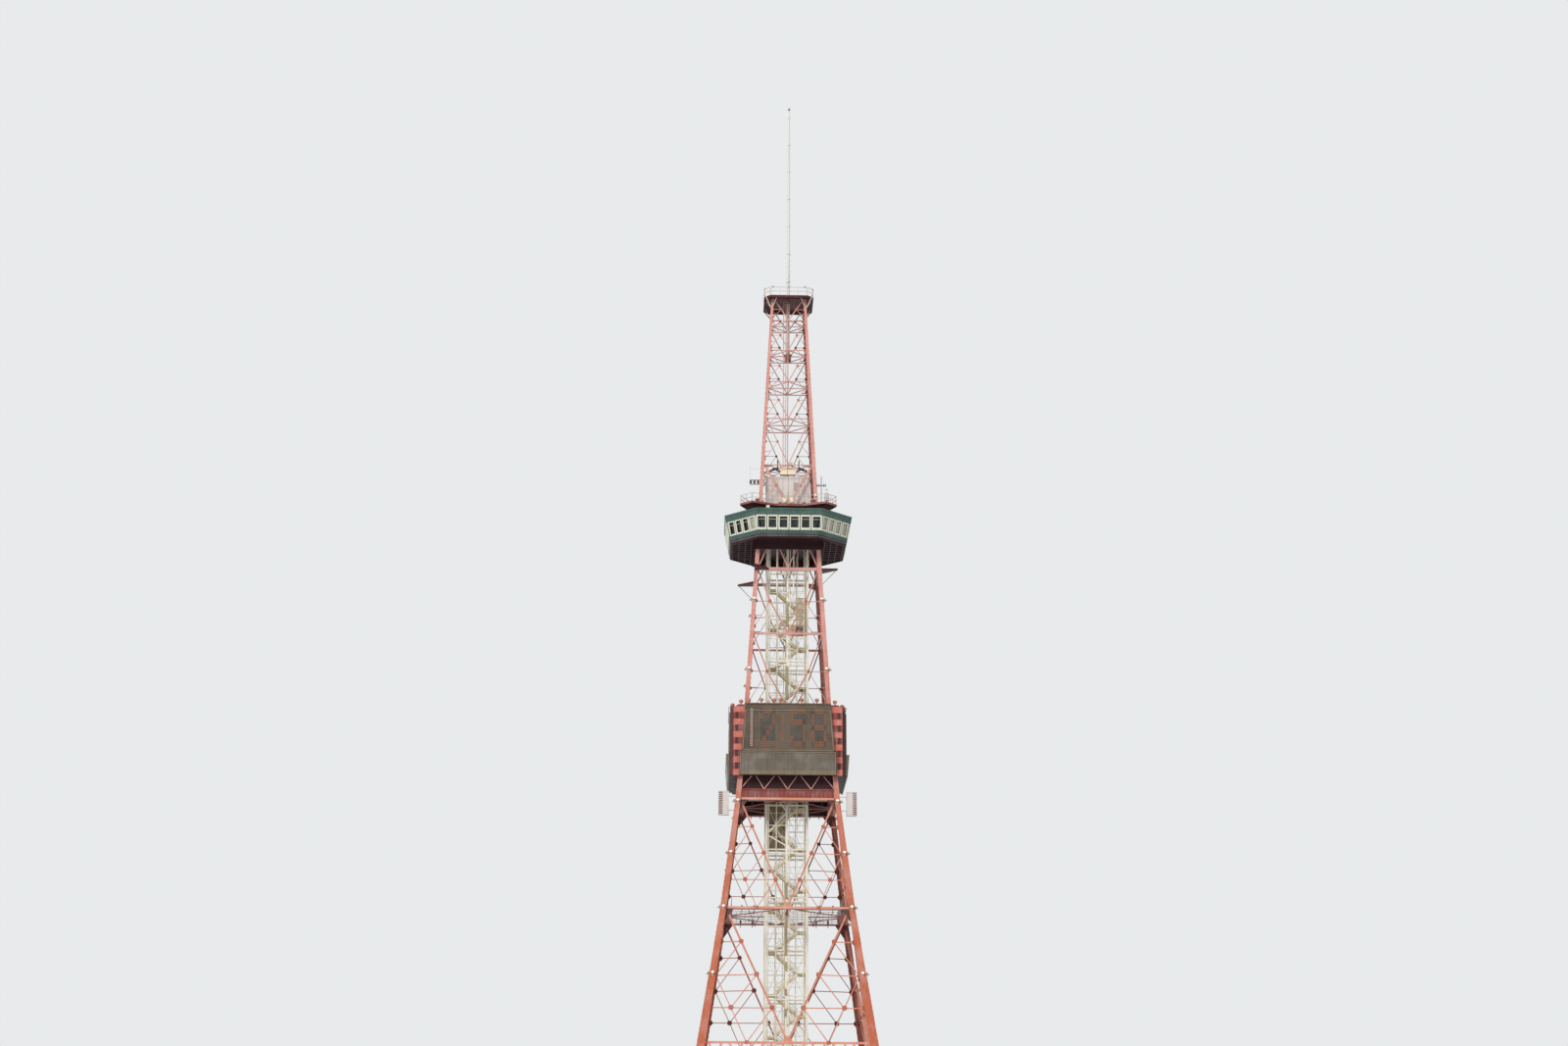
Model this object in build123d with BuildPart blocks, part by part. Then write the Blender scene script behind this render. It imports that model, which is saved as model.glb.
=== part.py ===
# Radio mast with an observation deck and a clock storey, as a 1:10 scale model.
# Millimetres, +Z up, front towards -Y, origin on the ground at the middle of the four legs.
import math
import os

from build123d import *

os.makedirs("parts", exist_ok=True)

# General fits and bars
clear = 0.3            # gap between pieces that are seated but not joined
rod = 8.0              # small struts and arms
rail_bar = 5.0         # bars of the railings
plate = 10.0           # thickness of sheet decks and soffits

# Heights of the levels on the legs
girder_z = 2780.0      # first girder, top edge
portal_z = 1400.0      # top of the open portal at ground level
first_z = 4330.0       # level of the lower gallery
clock_girder_z = 5620.0
soffit_z = 5920.0      # floor of the clock storey
housing_z = 6710.0     # roof of the clock storey
upper_z = 7650.0
deck_beam_z = 8460.0   # beam under the observation deck
deck_z = 8800.0        # underside of the deck
gallery_z = 9270.0     # walking surface of the gallery over the deck
mast_levels = [gallery_z, 9810.0, 10420.0, 10910.0, 11330.0, 11730.0, 12030.0]
tip_z = 14720.0        # tip of the antenna

# Outer half-width of the tower and side of a leg, at the heights where the legs bend
base_half, base_leg = 1500.0, 120.0
girder_half, girder_leg = 1020.0, 88.0
first_half, first_leg = 774.0, 66.0
clock_half, clock_leg = 610.0, 58.0
housing_half, housing_leg = 516.0, 50.0
beam_half, beam_leg = 405.0, 46.0
head_half, head_leg = 215.0, 28.0

leg_bends = [
    (0.0, base_half, base_leg),
    (girder_z, girder_half, girder_leg),
    (first_z, first_half, first_leg),
    (clock_girder_z, clock_half, clock_leg),
    (housing_z, housing_half, housing_leg),
    (deck_beam_z, beam_half, beam_leg),
    (mast_levels[-1], head_half, head_leg),
]

# Footings
footing_side = 260.0
footing_height = 60.0
footing_taper = 12.0   # degrees

# Lattice bars: width seen from the front, and depth into the tower
girder_deep = 160.0    # height of the first girder
clock_girder_deep = 132.0
chord = 26.0
deck_beam_high = 36.4  # height of the beam under the deck
heavy_bar, heavy_depth = 20.0, 24.0
main_bar, main_depth = 17.0, 20.0
light_bar = 13.6       # bars between the clock storey and the deck
strut_bar = 10.2       # small struts on the clock girder
mast_bar, mast_depth = 10.0, 11.0
thin_share = 0.5       # a secondary bar is this share of its main bar's width
base_gusset, heavy_gusset, main_gusset, light_gusset, mast_gusset = 70.0, 60.0, 50.0, 34.0, 20.0
girder_vees = 8
bent_knee = 0.6        # where the bent arms' knees stand, as a share of the panel's half-width
portal_spread = 0.42   # reach of the portal's knee braces along the girder, as a share of its half
portal_drop = 0.5      # where they meet the legs, as a share of the portal's height
diamond_share = 0.6    # a level diamond's bars, as a share of the level's beams

# Lift and stair core
core_half = 240.0      # to the middle of the outer columns
column = 28.0
core_storey = 567.0
core_beam = 16.0
core_beam_gap = 28.0   # between the two beams of a storey
core_rail = 10.0
flight_rise = 243.0
flight_width = 92.0
landing_inner = 140.0  # where the landings start, from the middle of the core
flight_thick = 14.0
shaft_low, shaft_high = 5145.0, 5860.0
sheet = 6.0

# Walkways round the inside of the legs
lower_walk = 100.0
upper_walk = 80.0

# Clock storey
case_face = 685.0      # outer face of a clock case, from the axis
case_thick = 60.0
case_top_z = 6760.0
case_top_half = 498.0
case_low_half = 563.0
case_bend = 80.0
sign_top_z, sign_low_z = 6170.0, 5900.0
sign_thick = 14.0
sign_lean = 22.0       # how much further out the sign's top edge stands
bracket = 20.0
bracket_set_in = 0.75  # of the leg's side, from the leg's outside to a bracket's middle
post_face = 641.0      # outer faces of the corner posts, from the axis
post_shoulder = 50.0   # height and width of the slope at a post's top
pocket_wide, pocket_high = 34.0, 78.0
pocket_deep = 12.0
pocket_pitch = 150.0
pockets = 5
bracket_levels = [6020.0, 6280.0, 6540.0]

# Observation deck
deck_low_half = 700.0
deck_top_half = 770.0
deck_top_z = 9135.0
deck_front_low = 352.0   # half of a main front, at the floor
deck_front_top = 400.0
wall = 16.0
deck_floor_thick = 26.0
deck_roof_thick = 26.0
window_low_z, window_high_z = 8875.0, 9050.0
window_width = 112.0
window_pitch = 133.0
corner_window_width = 88.0
corner_window_pitch = 116.0
front_windows = 6
corner_windows = 4
corner_post = 14.0
glass = 6.0
glass_lap = 12.0       # how far the glass reaches behind the wall round a window

# Gallery over the deck, machine room and mast head
gallery_half = 585.0
gallery_cut = 140.0
gallery_waist = 170.0  # half of the set-back stretch in the middle of a side
gallery_set_back = 125.0
gallery_thick = 40.0
gallery_taper = 45.0   # slope of the floor's underside at its edge, in degrees
railing_height = 110.0
railing_bay = 115.0    # about one post every so far
room_half = 262.0
room_height = 410.0
platform_half = 305.0
platform_cut = 75.0
pole_level = 4         # the mast level whose frame carries the pole
pole_foot_radius = 20.0
pole_tip_radius = 9.0
beacon_radius = 14.0
beacon_height = 26.0

# Small platforms and aerials outside the legs
wing_reach = 195.0
wing_depth = 170.0
wing_thick = 26.0
rack_out = 138.0       # from the leg to the middle of an aerial
rack_drop = 40.0       # of its middle below the clock girder's level
rack_height = 275.0
rack_width = 118.0
rack_thick = 50.0
arm_share = 0.3        # where the arms meet an aerial, above and below its middle

corners = {"front_left": 270, "front_right": 0, "back_right": 90, "back_left": 180}
sides = {"front": 0, "right": 90, "back": 180, "left": 270}


def between(height, column_index):
    """Value of the leg table at a height, straight between the two nearest bends."""
    for lower, upper in zip(leg_bends, leg_bends[1:]):
        if height <= upper[0] or upper is leg_bends[-1]:
            share = (height - lower[0]) / (upper[0] - lower[0])
            return lower[column_index] + share * (upper[column_index] - lower[column_index])


def outer(height):
    """Half-width of the tower to the outside of the legs."""
    return between(height, 1)


def leg_side(height):
    """Side of a leg's square section."""
    return between(height, 2)


def octagon(half, front):
    """Points of an octagon with four main fronts and four corner fronts."""
    return [
        (front, -half), (half, -front), (half, front), (front, half),
        (-front, half), (-half, front), (-half, -front), (-front, -half),
    ]


def star(half, cut, waist, set_back):
    """Points of a square with cut corners, whose four sides are set back in the middle."""
    side = [(cut - half, -half), (-waist, set_back - half), (waist, set_back - half), (half - cut, -half)]
    whole = []
    for _ in range(4):
        whole += side
        side = [(-y, x) for x, y in side]
    return whole


def turned(part, angle, label):
    """A copy of a piece, turned about the tower's axis."""
    with BuildPart() as copy:
        add(part, rotation=(0, 0, angle))
    copy.part.label = label
    return copy.part


def save(part, name):
    part.label = name
    export_step(part, "parts/" + name + ".step")


def face_plane(low_z, high_z, inset):
    """Leaning plane of the front lattice between two levels, set back into the legs."""
    low, high = outer(low_z), outer(high_z)
    slope = Vector(0, low - high, high_z - low_z).normalized()
    return Plane(origin=(0, inset - low, low_z), x_dir=(1, 0, 0), z_dir=Vector(1, 0, 0).cross(slope))


def bar_place(start, end):
    """Place and length of a straight bar between two points of a sketch."""
    across, up = end[0] - start[0], end[1] - start[1]
    middle = ((start[0] + end[0]) / 2, (start[1] + end[1]) / 2, 0)
    return Location(middle, (0, 0, math.degrees(math.atan2(up, across)))), math.hypot(across, up)


def panel(low_z, high_z, bar, depth, lines, beam=0.0, gusset=0.0):
    """One lattice panel of the front side, cut to fit between the legs.

    The lines come from a function of the panel's clear half-widths and length. The bottom
    beam is its own strip, and a gusset stands at the foot of the main diagonals.
    """
    low_in = outer(low_z) - leg_side(low_z)
    high_in = outer(high_z) - leg_side(high_z)
    length = math.hypot(high_z - low_z, outer(low_z) - outer(high_z))
    side = face_plane(low_z, high_z, (leg_side(low_z) - depth) / 2)
    thin_depth = depth * thin_share
    main, thin = lines(low_in, high_in, length, beam)
    leg_slope = Vector(high_z - low_z, 0, low_in - high_in)
    with BuildPart() as made:
        with BuildSketch(side):
            for start, end in main:
                place, reach = bar_place(start, end)
                with Locations(place):
                    Rectangle(reach + bar, bar)
            if beam:
                with Locations((0, beam / 2)):
                    Rectangle(2 * low_in, beam)
            if gusset:
                Polygon((-gusset, beam), (gusset, beam), (gusset / 3, beam + gusset),
                        (-gusset / 3, beam + gusset), align=None)
        extrude(amount=-depth)
        if thin:
            with BuildSketch(side.offset((thin_depth - depth) / 2)):
                for start, end in thin:
                    place, reach = bar_place(start, end)
                    with Locations(place):
                        Rectangle(reach + bar * thin_share, bar * thin_share)
            extrude(amount=-thin_depth)
        split(bisect_by=Plane.XY.offset(low_z), keep=Keep.TOP)
        split(bisect_by=Plane.XY.offset(high_z), keep=Keep.BOTTOM)
        for hand in (-1, 1):
            leg_face = Plane(origin=(hand * low_in, 0, low_z),
                             z_dir=(hand * leg_slope.X, 0, leg_slope.Z))
            split(bisect_by=leg_face, keep=Keep.BOTTOM)
    return made.part


def mirrored(lines):
    """The given lines and their mirror images across the middle of the side."""
    return lines + [((-a[0], a[1]), (-b[0], b[1])) for a, b in lines]


def quarter_bracing(low_in, high_in, length, beam):
    """Main V with three cross bars a side and the small struts between them and the leg."""

    def leg_at(share):
        return (low_in + share * (high_in - low_in), share * length)

    def bar_at(share):
        return (share * high_in, beam + share * (length - beam))

    middle = ((leg_at(0.25)[0] * 2 + bar_at(0.25)[0]) / 3, bar_at(0.25)[1])
    foot = (middle[0] * 0.72, beam / 2)
    main = mirrored([(bar_at(0), bar_at(1))])
    thin = mirrored([
        (leg_at(0.75), bar_at(0.75)),
        (leg_at(0.5), bar_at(0.5)),
        ((leg_at(0.25)[0], middle[1]), bar_at(0.25)),
        (bar_at(0.75), leg_at(0.5)),
        (bar_at(0.5), middle),
        (leg_at(0.5), middle),
        (middle, foot),
        (bar_at(0.25), foot),
    ])
    return main, thin


def half_bracing(low_in, high_in, length, beam, knee_share=0.5):
    """Main V with one cross bar, one small strut and a tie between strut and leg a side.

    A knee further out than half of the panel's width bends the V's arms.
    """
    knee = (high_in * knee_share, beam + 0.5 * (length - beam))
    leg_middle = ((low_in + high_in) / 2, knee[1])
    leg_low = (low_in + 0.12 * (high_in - low_in), 0.12 * length)
    tie_leg = (low_in + 0.3 * (high_in - low_in), 0.3 * length)
    share = (tie_leg[1] - leg_low[1]) / (knee[1] - leg_low[1])
    tie = (leg_low[0] + share * (knee[0] - leg_low[0]), tie_leg[1])
    main = mirrored([((0, beam), knee), (knee, (high_in, length))])
    thin = mirrored([(knee, leg_middle), (knee, leg_low), (tie_leg, tie)])
    return main, thin


def bent_bracing(low_in, high_in, length, beam):
    """The same with the V's arms bent outwards at the knees."""
    return half_bracing(low_in, high_in, length, beam, bent_knee)


def plain_bracing(low_in, high_in, length, beam):
    """Main V alone."""
    return mirrored([((0, beam), (high_in, length))]), []


def zigzag(count):
    """Struts that rise from the beam in a row of Vs."""

    def lines(low_in, high_in, length, beam):
        pitch = 2 * high_in / count
        vees = []
        for index in range(count):
            foot = (-high_in + pitch * (index + 0.5), beam)
            vees.append((foot, (foot[0] - pitch * 0.3, length)))
            vees.append((foot, (foot[0] + pitch * 0.3, length)))
        return vees, []

    return lines


def girder_struts(low_in, high_in, length, beam):
    """Vs on the middle and the quarter points of the beam, and one strut from each of its ends."""
    quarter = (low_in * 0.5, beam)
    return mirrored([((0, beam), (high_in * 0.2, length)), (quarter, (high_in * 0.3, length)),
                     (quarter, (high_in * 0.7, length)), ((low_in, beam), (high_in * 0.8, length))]), []


def deck_struts(low_in, high_in, length, beam):
    """A V on the middle of the beam and a strut that leans in from each of its ends."""
    return mirrored([((0, beam), (high_in * 0.38, length)), ((low_in, beam), (high_in * 0.68, length))]), []


def knee_bracing(low_in, high_in, length, beam):
    """Knee braces in the upper corners of the portal, and the girder's lower chord."""
    spread = high_in * portal_spread
    drop = length * portal_drop
    leg_x = low_in + portal_drop * (high_in - low_in)
    main = mirrored([((leg_x, drop), (spread, length))])
    return main + [((-high_in, length - chord / 2), (high_in, length - chord / 2))], []


# Legs: one leaning box member from the footing to the mast head, bent at the levels
leg_parts = {}
for corner, angle in corners.items():
    with BuildPart() as leg:
        for height, half, side in leg_bends:
            base = footing_height if height == 0.0 else height
            with BuildSketch(Plane.XY.offset(base)):
                with Locations((outer(base) - leg_side(base) / 2, leg_side(base) / 2 - outer(base))):
                    Rectangle(leg_side(base), leg_side(base))
        loft(ruled=True)
    leg_parts[corner] = turned(leg.part, angle, "leg_" + corner)
    save(leg_parts[corner], "leg_" + corner)


def around_legs(tool):
    """Cut the four legs out of the plate that is being made."""
    for part in leg_parts.values():
        add(part, mode=tool)


# Footings: a tapered concrete block under each leg
with BuildPart() as footings:
    leg_centre = outer(footing_height) - leg_side(footing_height) / 2
    with BuildSketch():
        with GridLocations(2 * leg_centre, 2 * leg_centre, 2, 2):
            Rectangle(footing_side, footing_side)
    extrude(amount=footing_height, taper=footing_taper)
save(footings.part, "footings")

# Lattice sides, drawn once for the front and turned for the other three
with BuildPart() as base_side:
    add(panel(footing_height, portal_z, heavy_bar, heavy_depth, knee_bracing))
    add(panel(portal_z, girder_z - girder_deep, heavy_bar, heavy_depth, half_bracing,
              beam=chord * 2, gusset=base_gusset))
with BuildPart() as lower_side:
    add(panel(girder_z - girder_deep, girder_z, heavy_bar, heavy_depth, zigzag(girder_vees), beam=chord))
    add(panel(girder_z, first_z, heavy_bar, heavy_depth, quarter_bracing, beam=chord, gusset=heavy_gusset))
    add(panel(first_z, clock_girder_z, main_bar, main_depth, quarter_bracing, beam=chord, gusset=main_gusset))
with BuildPart() as middle_side:
    add(panel(clock_girder_z, soffit_z - plate, strut_bar, main_depth, girder_struts,
              beam=clock_girder_deep))
    add(panel(soffit_z, housing_z - plate, main_bar, main_depth, plain_bracing, beam=chord))
    add(panel(housing_z, upper_z, light_bar, main_depth, bent_bracing, beam=chord, gusset=light_gusset))
    add(panel(upper_z, deck_beam_z, light_bar, main_depth, bent_bracing, beam=chord, gusset=light_gusset))
    add(panel(deck_beam_z, deck_z, light_bar, main_depth, deck_struts, beam=deck_beam_high))
with BuildPart() as mast_side:
    for low_z, high_z in zip(mast_levels, mast_levels[1:]):
        add(panel(low_z, high_z, mast_bar, mast_depth, half_bracing, beam=mast_bar, gusset=mast_gusset))

side_parts = {}
for side, angle in sides.items():
    for stage, part in (("base", base_side.part), ("lower", lower_side.part),
                        ("middle", middle_side.part), ("mast", mast_side.part)):
        name = stage + "_side_" + side
        side_parts[name] = turned(part, angle, name)
        save(side_parts[name], name)


def around_sides(stage):
    """Cut one stage of the four lattice sides out of the piece that is being made."""
    for side in sides:
        add(side_parts[stage + "_side_" + side], mode=Mode.SUBTRACT)


# Core: a square cage of eight columns with paired ring beams at every storey and a rail between
core_outer = core_half + column / 2
core_inner = core_half - column / 2
storeys = int(deck_z // core_storey)
with BuildPart() as core_ring:
    with BuildSketch():
        Rectangle(2 * core_outer, 2 * core_outer)
        Rectangle(2 * core_inner, 2 * core_inner, mode=Mode.SUBTRACT)
    extrude(amount=-core_beam)
with BuildPart() as core_rails:
    with BuildSketch():
        Rectangle(2 * core_half + core_rail, 2 * core_half + core_rail)
        Rectangle(2 * core_half - core_rail, 2 * core_half - core_rail, mode=Mode.SUBTRACT)
    extrude(amount=-core_rail)
with BuildPart() as core_frame:
    with BuildSketch():
        with GridLocations(core_half, core_half, 3, 3):
            Rectangle(column, column)
        Rectangle(2 * column, 2 * column, mode=Mode.SUBTRACT)
    extrude(amount=deck_z)
    rings = []
    for index in range(1, storeys + 1):
        for drop in (0, core_beam + core_beam_gap):
            rings.append(core_ring.part.moved(Location((0, 0, index * core_storey - drop))))
        rings.append(core_rails.part.moved(Location((0, 0, (index - 0.5) * core_storey))))
    add(rings)
save(core_frame.part, "core_frame")

# Stairs: flights that change lane at each landing, in the front half of the core
landing_outer = core_inner - clear
front_lane = -core_inner + clear + flight_width / 2 + column
back_lane = front_lane + flight_width + rod
stair_turns = int(deck_beam_z // (2 * flight_rise))
with BuildPart() as stair_turn:
    for index, lane in enumerate((front_lane, back_lane)):
        low = index * flight_rise
        high = low + flight_rise
        start = landing_inner * (2 * index - 1)
        with BuildSketch(Plane.XZ.offset(-lane)):
            Polygon((start, low), (start, low + flight_thick), (-start, high + flight_thick),
                    (-start, high), align=None)
        extrude(amount=flight_width / 2, both=True)
        middle = (landing_outer + landing_inner) / 2
        with Locations((math.copysign(middle, -start), (front_lane + back_lane) / 2,
                        high + flight_thick / 2)):
            Box(landing_outer - landing_inner, 2 * flight_width + rod, flight_thick)
with BuildPart() as stair_flights:
    add([stair_turn.part.moved(Location((0, 0, 2 * flight_rise * index))) for index in range(stair_turns)])
save(stair_flights.part, "stair_flights")

# Sheeted length of the lift shaft, in the back left quarter of the core
with BuildPart() as shaft_sheeting:
    shaft_side = core_half - column - 2 * clear
    with BuildSketch(Plane.XY.offset(shaft_low)):
        with Locations((-core_half / 2, core_half / 2)):
            Rectangle(shaft_side, shaft_side)
            Rectangle(shaft_side - 2 * sheet, shaft_side - 2 * sheet, mode=Mode.SUBTRACT)
    extrude(amount=shaft_high - shaft_low)
save(shaft_sheeting.part, "shaft_sheeting")


def level_frame(level, thickness, beam, walkway, hole, stages):
    """Beams from the middle to each side and a diamond between them, fitted to legs and sides.

    A walkway may run round the inside of the legs, and the hole leaves room for the core.
    """
    reach = outer(level) - leg_side(level) / 2
    with BuildPart() as made:
        with BuildSketch(Plane.XY.offset(level)):
            if walkway:
                Rectangle(2 * reach, 2 * reach)
                Rectangle(2 * (reach - walkway), 2 * (reach - walkway), mode=Mode.SUBTRACT)
            diamond = beam * diamond_share
            with Locations(Location((0, 0, 0), (0, 0, 45))):
                Rectangle(math.sqrt(2) * reach, math.sqrt(2) * reach)
                Rectangle(math.sqrt(2) * reach - 2 * diamond, math.sqrt(2) * reach - 2 * diamond,
                          mode=Mode.SUBTRACT)
            Rectangle(2 * reach, beam)
            Rectangle(beam, 2 * reach)
            if hole:
                Rectangle(2 * hole, 2 * hole, mode=Mode.SUBTRACT)
        extrude(amount=thickness)
        around_legs(Mode.SUBTRACT)
        for stage in stages:
            around_sides(stage)
        return made.part


core_hole = core_outer + clear
girder_frame = level_frame(girder_z - girder_deep, chord, column, 0, core_hole, ["base", "lower"])
save(girder_frame, "girder_frame")
lower_gallery = level_frame(first_z, plate, column, lower_walk, core_hole, ["lower"])
save(lower_gallery, "lower_gallery")
upper_gallery = level_frame(clock_girder_z, plate, column, upper_walk, core_hole, ["lower", "middle"])
save(upper_gallery, "upper_gallery")
with BuildPart() as mast_frames:
    for index, level in enumerate(mast_levels[1:-1], start=1):
        pole_hole = pole_foot_radius + clear if index > pole_level else 0
        add(level_frame(level, mast_bar, mast_bar, 0, pole_hole, ["mast"]))
save(mast_frames.part, "mast_frames")


# Clock storey: a case on each side with a bare sign board below its display
case_back = case_face - case_thick


def clock_case(bent_top):
    """A display case as wide as the tower there. The side ones bend inwards at the top."""
    with BuildPart() as made:
        with BuildSketch(Plane.YZ):
            if bent_top:
                Polygon((-case_face, soffit_z), (-case_face, case_top_z - case_bend),
                        (case_bend - case_face, case_top_z), (case_bend - case_back, case_top_z),
                        (-case_back, case_top_z - case_bend), (-case_back, soffit_z), align=None)
            else:
                Polygon((-case_face, soffit_z), (-case_face, case_top_z), (-case_back, case_top_z),
                        (-case_back, soffit_z), align=None)
        extrude(amount=case_low_half, both=True)
        for hand in (-1, 1):
            edge = Plane(origin=(hand * case_low_half, 0, soffit_z),
                         z_dir=(hand * (case_top_z - soffit_z), 0, case_low_half - case_top_half))
            split(bisect_by=edge, keep=Keep.BOTTOM)
    return made.part


for side, angle in sides.items():
    name = "clock_case_" + side
    save(turned(clock_case(side in ("left", "right")), angle, name), name)

with BuildPart() as sign_board:
    sign_half = case_low_half - clear
    with BuildSketch(Plane.YZ):
        Polygon((-case_face - clear, sign_low_z), (-case_face - clear, sign_top_z),
                (-case_face - clear - sign_thick - sign_lean, sign_top_z),
                (-case_face - clear - sign_thick, sign_low_z), align=None)
    extrude(amount=sign_half, both=True)
with BuildPart() as sign_boards:
    for angle in sides.values():
        add(sign_board.part, rotation=(0, 0, angle))
save(sign_boards.part, "sign_boards")

# Corner posts of the clock storey: they fill the corner between two cases beside each leg,
# get wider as the cases get narrower, and have a row of pockets in each outer face
case_lean = (case_low_half - case_top_half) / (case_top_z - soffit_z)


def post_section(height, face):
    """Square section of the front right post between the cases' edges and its outer faces."""
    inner = case_low_half - case_lean * (height - soffit_z) + clear
    with BuildSketch(Plane.XY.offset(height)) as made:
        with Locations(((inner + face) / 2, -(inner + face) / 2)):
            Rectangle(face - inner, face - inner)
    return made.sketch


with BuildPart() as corner_post_right:
    shoulder_z = case_top_z - post_shoulder
    loft([post_section(soffit_z, post_face), post_section(shoulder_z, post_face),
          post_section(case_top_z, post_face - post_shoulder)], ruled=True)
    pocket_x = (case_low_half + post_face) / 2
    for side in (Plane.XZ.offset(post_face), Plane.YZ.offset(post_face)):
        across = pocket_x if side.z_dir.Y else -pocket_x
        with BuildSketch(side):
            with Locations((across, (soffit_z + shoulder_z) / 2)):
                with GridLocations(0, pocket_pitch, 1, pockets):
                    Rectangle(pocket_wide, pocket_high)
        extrude(amount=-pocket_deep, mode=Mode.SUBTRACT)
with BuildPart() as clock_corner_posts:
    for angle in sides.values():
        add(corner_post_right.part, rotation=(0, 0, angle))
    around_legs(Mode.SUBTRACT)
save(clock_corner_posts.part, "clock_corner_posts")

# Plates that close the clock storey below and above, fitted round the legs
with BuildPart() as clock_soffit:
    with BuildSketch(Plane.XY.offset(soffit_z - plate)):
        Rectangle(2 * post_face, 2 * post_face)
        Rectangle(2 * case_face, 2 * case_low_half)
        Rectangle(2 * case_low_half, 2 * case_face)
        Rectangle(2 * core_hole, 2 * core_hole, mode=Mode.SUBTRACT)
    extrude(amount=plate)
    around_legs(Mode.SUBTRACT)
save(clock_soffit.part, "clock_soffit")
with BuildPart() as clock_roof:
    with BuildSketch(Plane.XY.offset(housing_z - plate)):
        Rectangle(2 * outer(housing_z), 2 * outer(housing_z))
        Rectangle(2 * core_hole, 2 * core_hole, mode=Mode.SUBTRACT)
    extrude(amount=plate)
    around_legs(Mode.SUBTRACT)
save(clock_roof.part, "clock_roof")

# Brackets from each leg out to the backs of the two clock cases beside it
with BuildPart() as front_brackets:
    for level in bracket_levels:
        leg_middle = outer(level) - leg_side(level) / 2
        across = outer(level) - leg_side(level) * bracket_set_in
        with BuildSketch(Plane.XZ.offset(leg_middle)):
            with Locations((-across, level), (across, level)):
                Rectangle(bracket, bracket)
        extrude(amount=case_back - clear - leg_middle)
with BuildPart() as clock_brackets:
    for angle in sides.values():
        add(front_brackets.part, rotation=(0, 0, angle))
    around_legs(Mode.SUBTRACT)
save(clock_brackets.part, "clock_brackets")

# Observation deck: floor, eight leaning walls with windows cut through, corner posts, glass, roof
with BuildPart() as deck_floor:
    with BuildSketch(Plane.XY.offset(deck_z)):
        Polygon(*octagon(deck_low_half, deck_front_low), align=None)
    extrude(amount=deck_floor_thick)
    around_legs(Mode.SUBTRACT)
save(deck_floor.part, "deck_floor")
with BuildPart() as deck_roof:
    with BuildSketch(Plane.XY.offset(deck_top_z - deck_roof_thick)):
        Polygon(*octagon(deck_top_half, deck_front_top), align=None)
    extrude(amount=deck_roof_thick)
    around_legs(Mode.SUBTRACT)
save(deck_roof.part, "deck_roof")

wall_low_z = deck_z + deck_floor_thick
wall_high_z = deck_top_z - deck_roof_thick


def deck_size(height):
    """Half-width and half-front of the deck's outside at a height."""
    share = (height - deck_z) / (deck_top_z - deck_z)
    return (deck_low_half + share * (deck_top_half - deck_low_half),
            deck_front_low + share * (deck_front_top - deck_front_low))


def wall_panel(sizes, low_z, high_z, back, thickness, inset, row):
    """One leaning wall between two heights, set back from the deck's outside by a distance.

    sizes gives the wall's distance from the axis and its half-length at a height. The
    thickness is level, and a row of windows may be cut through: their count, width and pitch.
    """
    (low_out, low_length), (high_out, high_length) = sizes(low_z), sizes(high_z)
    lean = Vector(0, low_out - high_out, high_z - low_z)
    stretch = lean.length / (high_z - low_z)
    side = Plane(origin=(0, back - low_out, low_z), x_dir=(1, 0, 0), z_dir=Vector(1, 0, 0).cross(lean))
    with BuildPart() as made:
        with BuildSketch(side):
            Polygon((inset - low_length, 0), (low_length - inset, 0),
                    (high_length - inset, lean.length), (inset - high_length, lean.length), align=None)
            if row:
                windows, width, pitch = row
                middle = ((window_low_z + window_high_z) / 2 - low_z) * stretch
                with Locations((0, middle)):
                    with GridLocations(pitch, 0, windows, 1):
                        Rectangle(width, (window_high_z - window_low_z) * stretch, mode=Mode.SUBTRACT)
        extrude(amount=thickness, dir=(0, 1, 0))
    return made.part


def corner_sizes(height):
    half, front = deck_size(height)
    return (half + front) / math.sqrt(2), (half - front) / math.sqrt(2)


def deck_ring(low_z, high_z, back, thickness, inset, front_row, corner_row):
    """Eight wall pieces: the main fronts and the corner fronts between them."""
    with BuildPart() as made:
        for sizes, first_turn, row in ((deck_size, 0, front_row), (corner_sizes, 45, corner_row)):
            piece = wall_panel(sizes, low_z, high_z, back, thickness, inset, row)
            for quarter in range(4):
                add(piece, rotation=(0, 0, first_turn + 90 * quarter))
    return made.part


front_row = (front_windows, window_width, window_pitch)
corner_row = (corner_windows, corner_window_width, corner_window_pitch)
deck_walls = deck_ring(wall_low_z, wall_high_z, 0, wall, corner_post, front_row, corner_row)
save(deck_walls, "deck_walls")
deck_glass = deck_ring(window_low_z - glass_lap, window_high_z + glass_lap, wall + clear, glass,
                       corner_post + wall, None, None)
save(deck_glass, "deck_glass")

# Corner posts: what is left of the deck's whole shell between the eight walls
with BuildPart() as deck_corner_posts:
    for inset, tool in ((0, Mode.ADD), (wall, Mode.SUBTRACT)):
        for height in (wall_low_z, wall_high_z):
            with BuildSketch(Plane.XY.offset(height)):
                Polygon(*octagon(*deck_size(height)), align=None)
                if inset:
                    offset(amount=-inset, kind=Kind.INTERSECTION, mode=Mode.REPLACE)
        loft(ruled=True, mode=tool)
    add(deck_ring(wall_low_z, wall_high_z, 0, wall, corner_post, None, None), mode=Mode.SUBTRACT)
save(deck_corner_posts.part, "deck_corner_posts")

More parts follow.
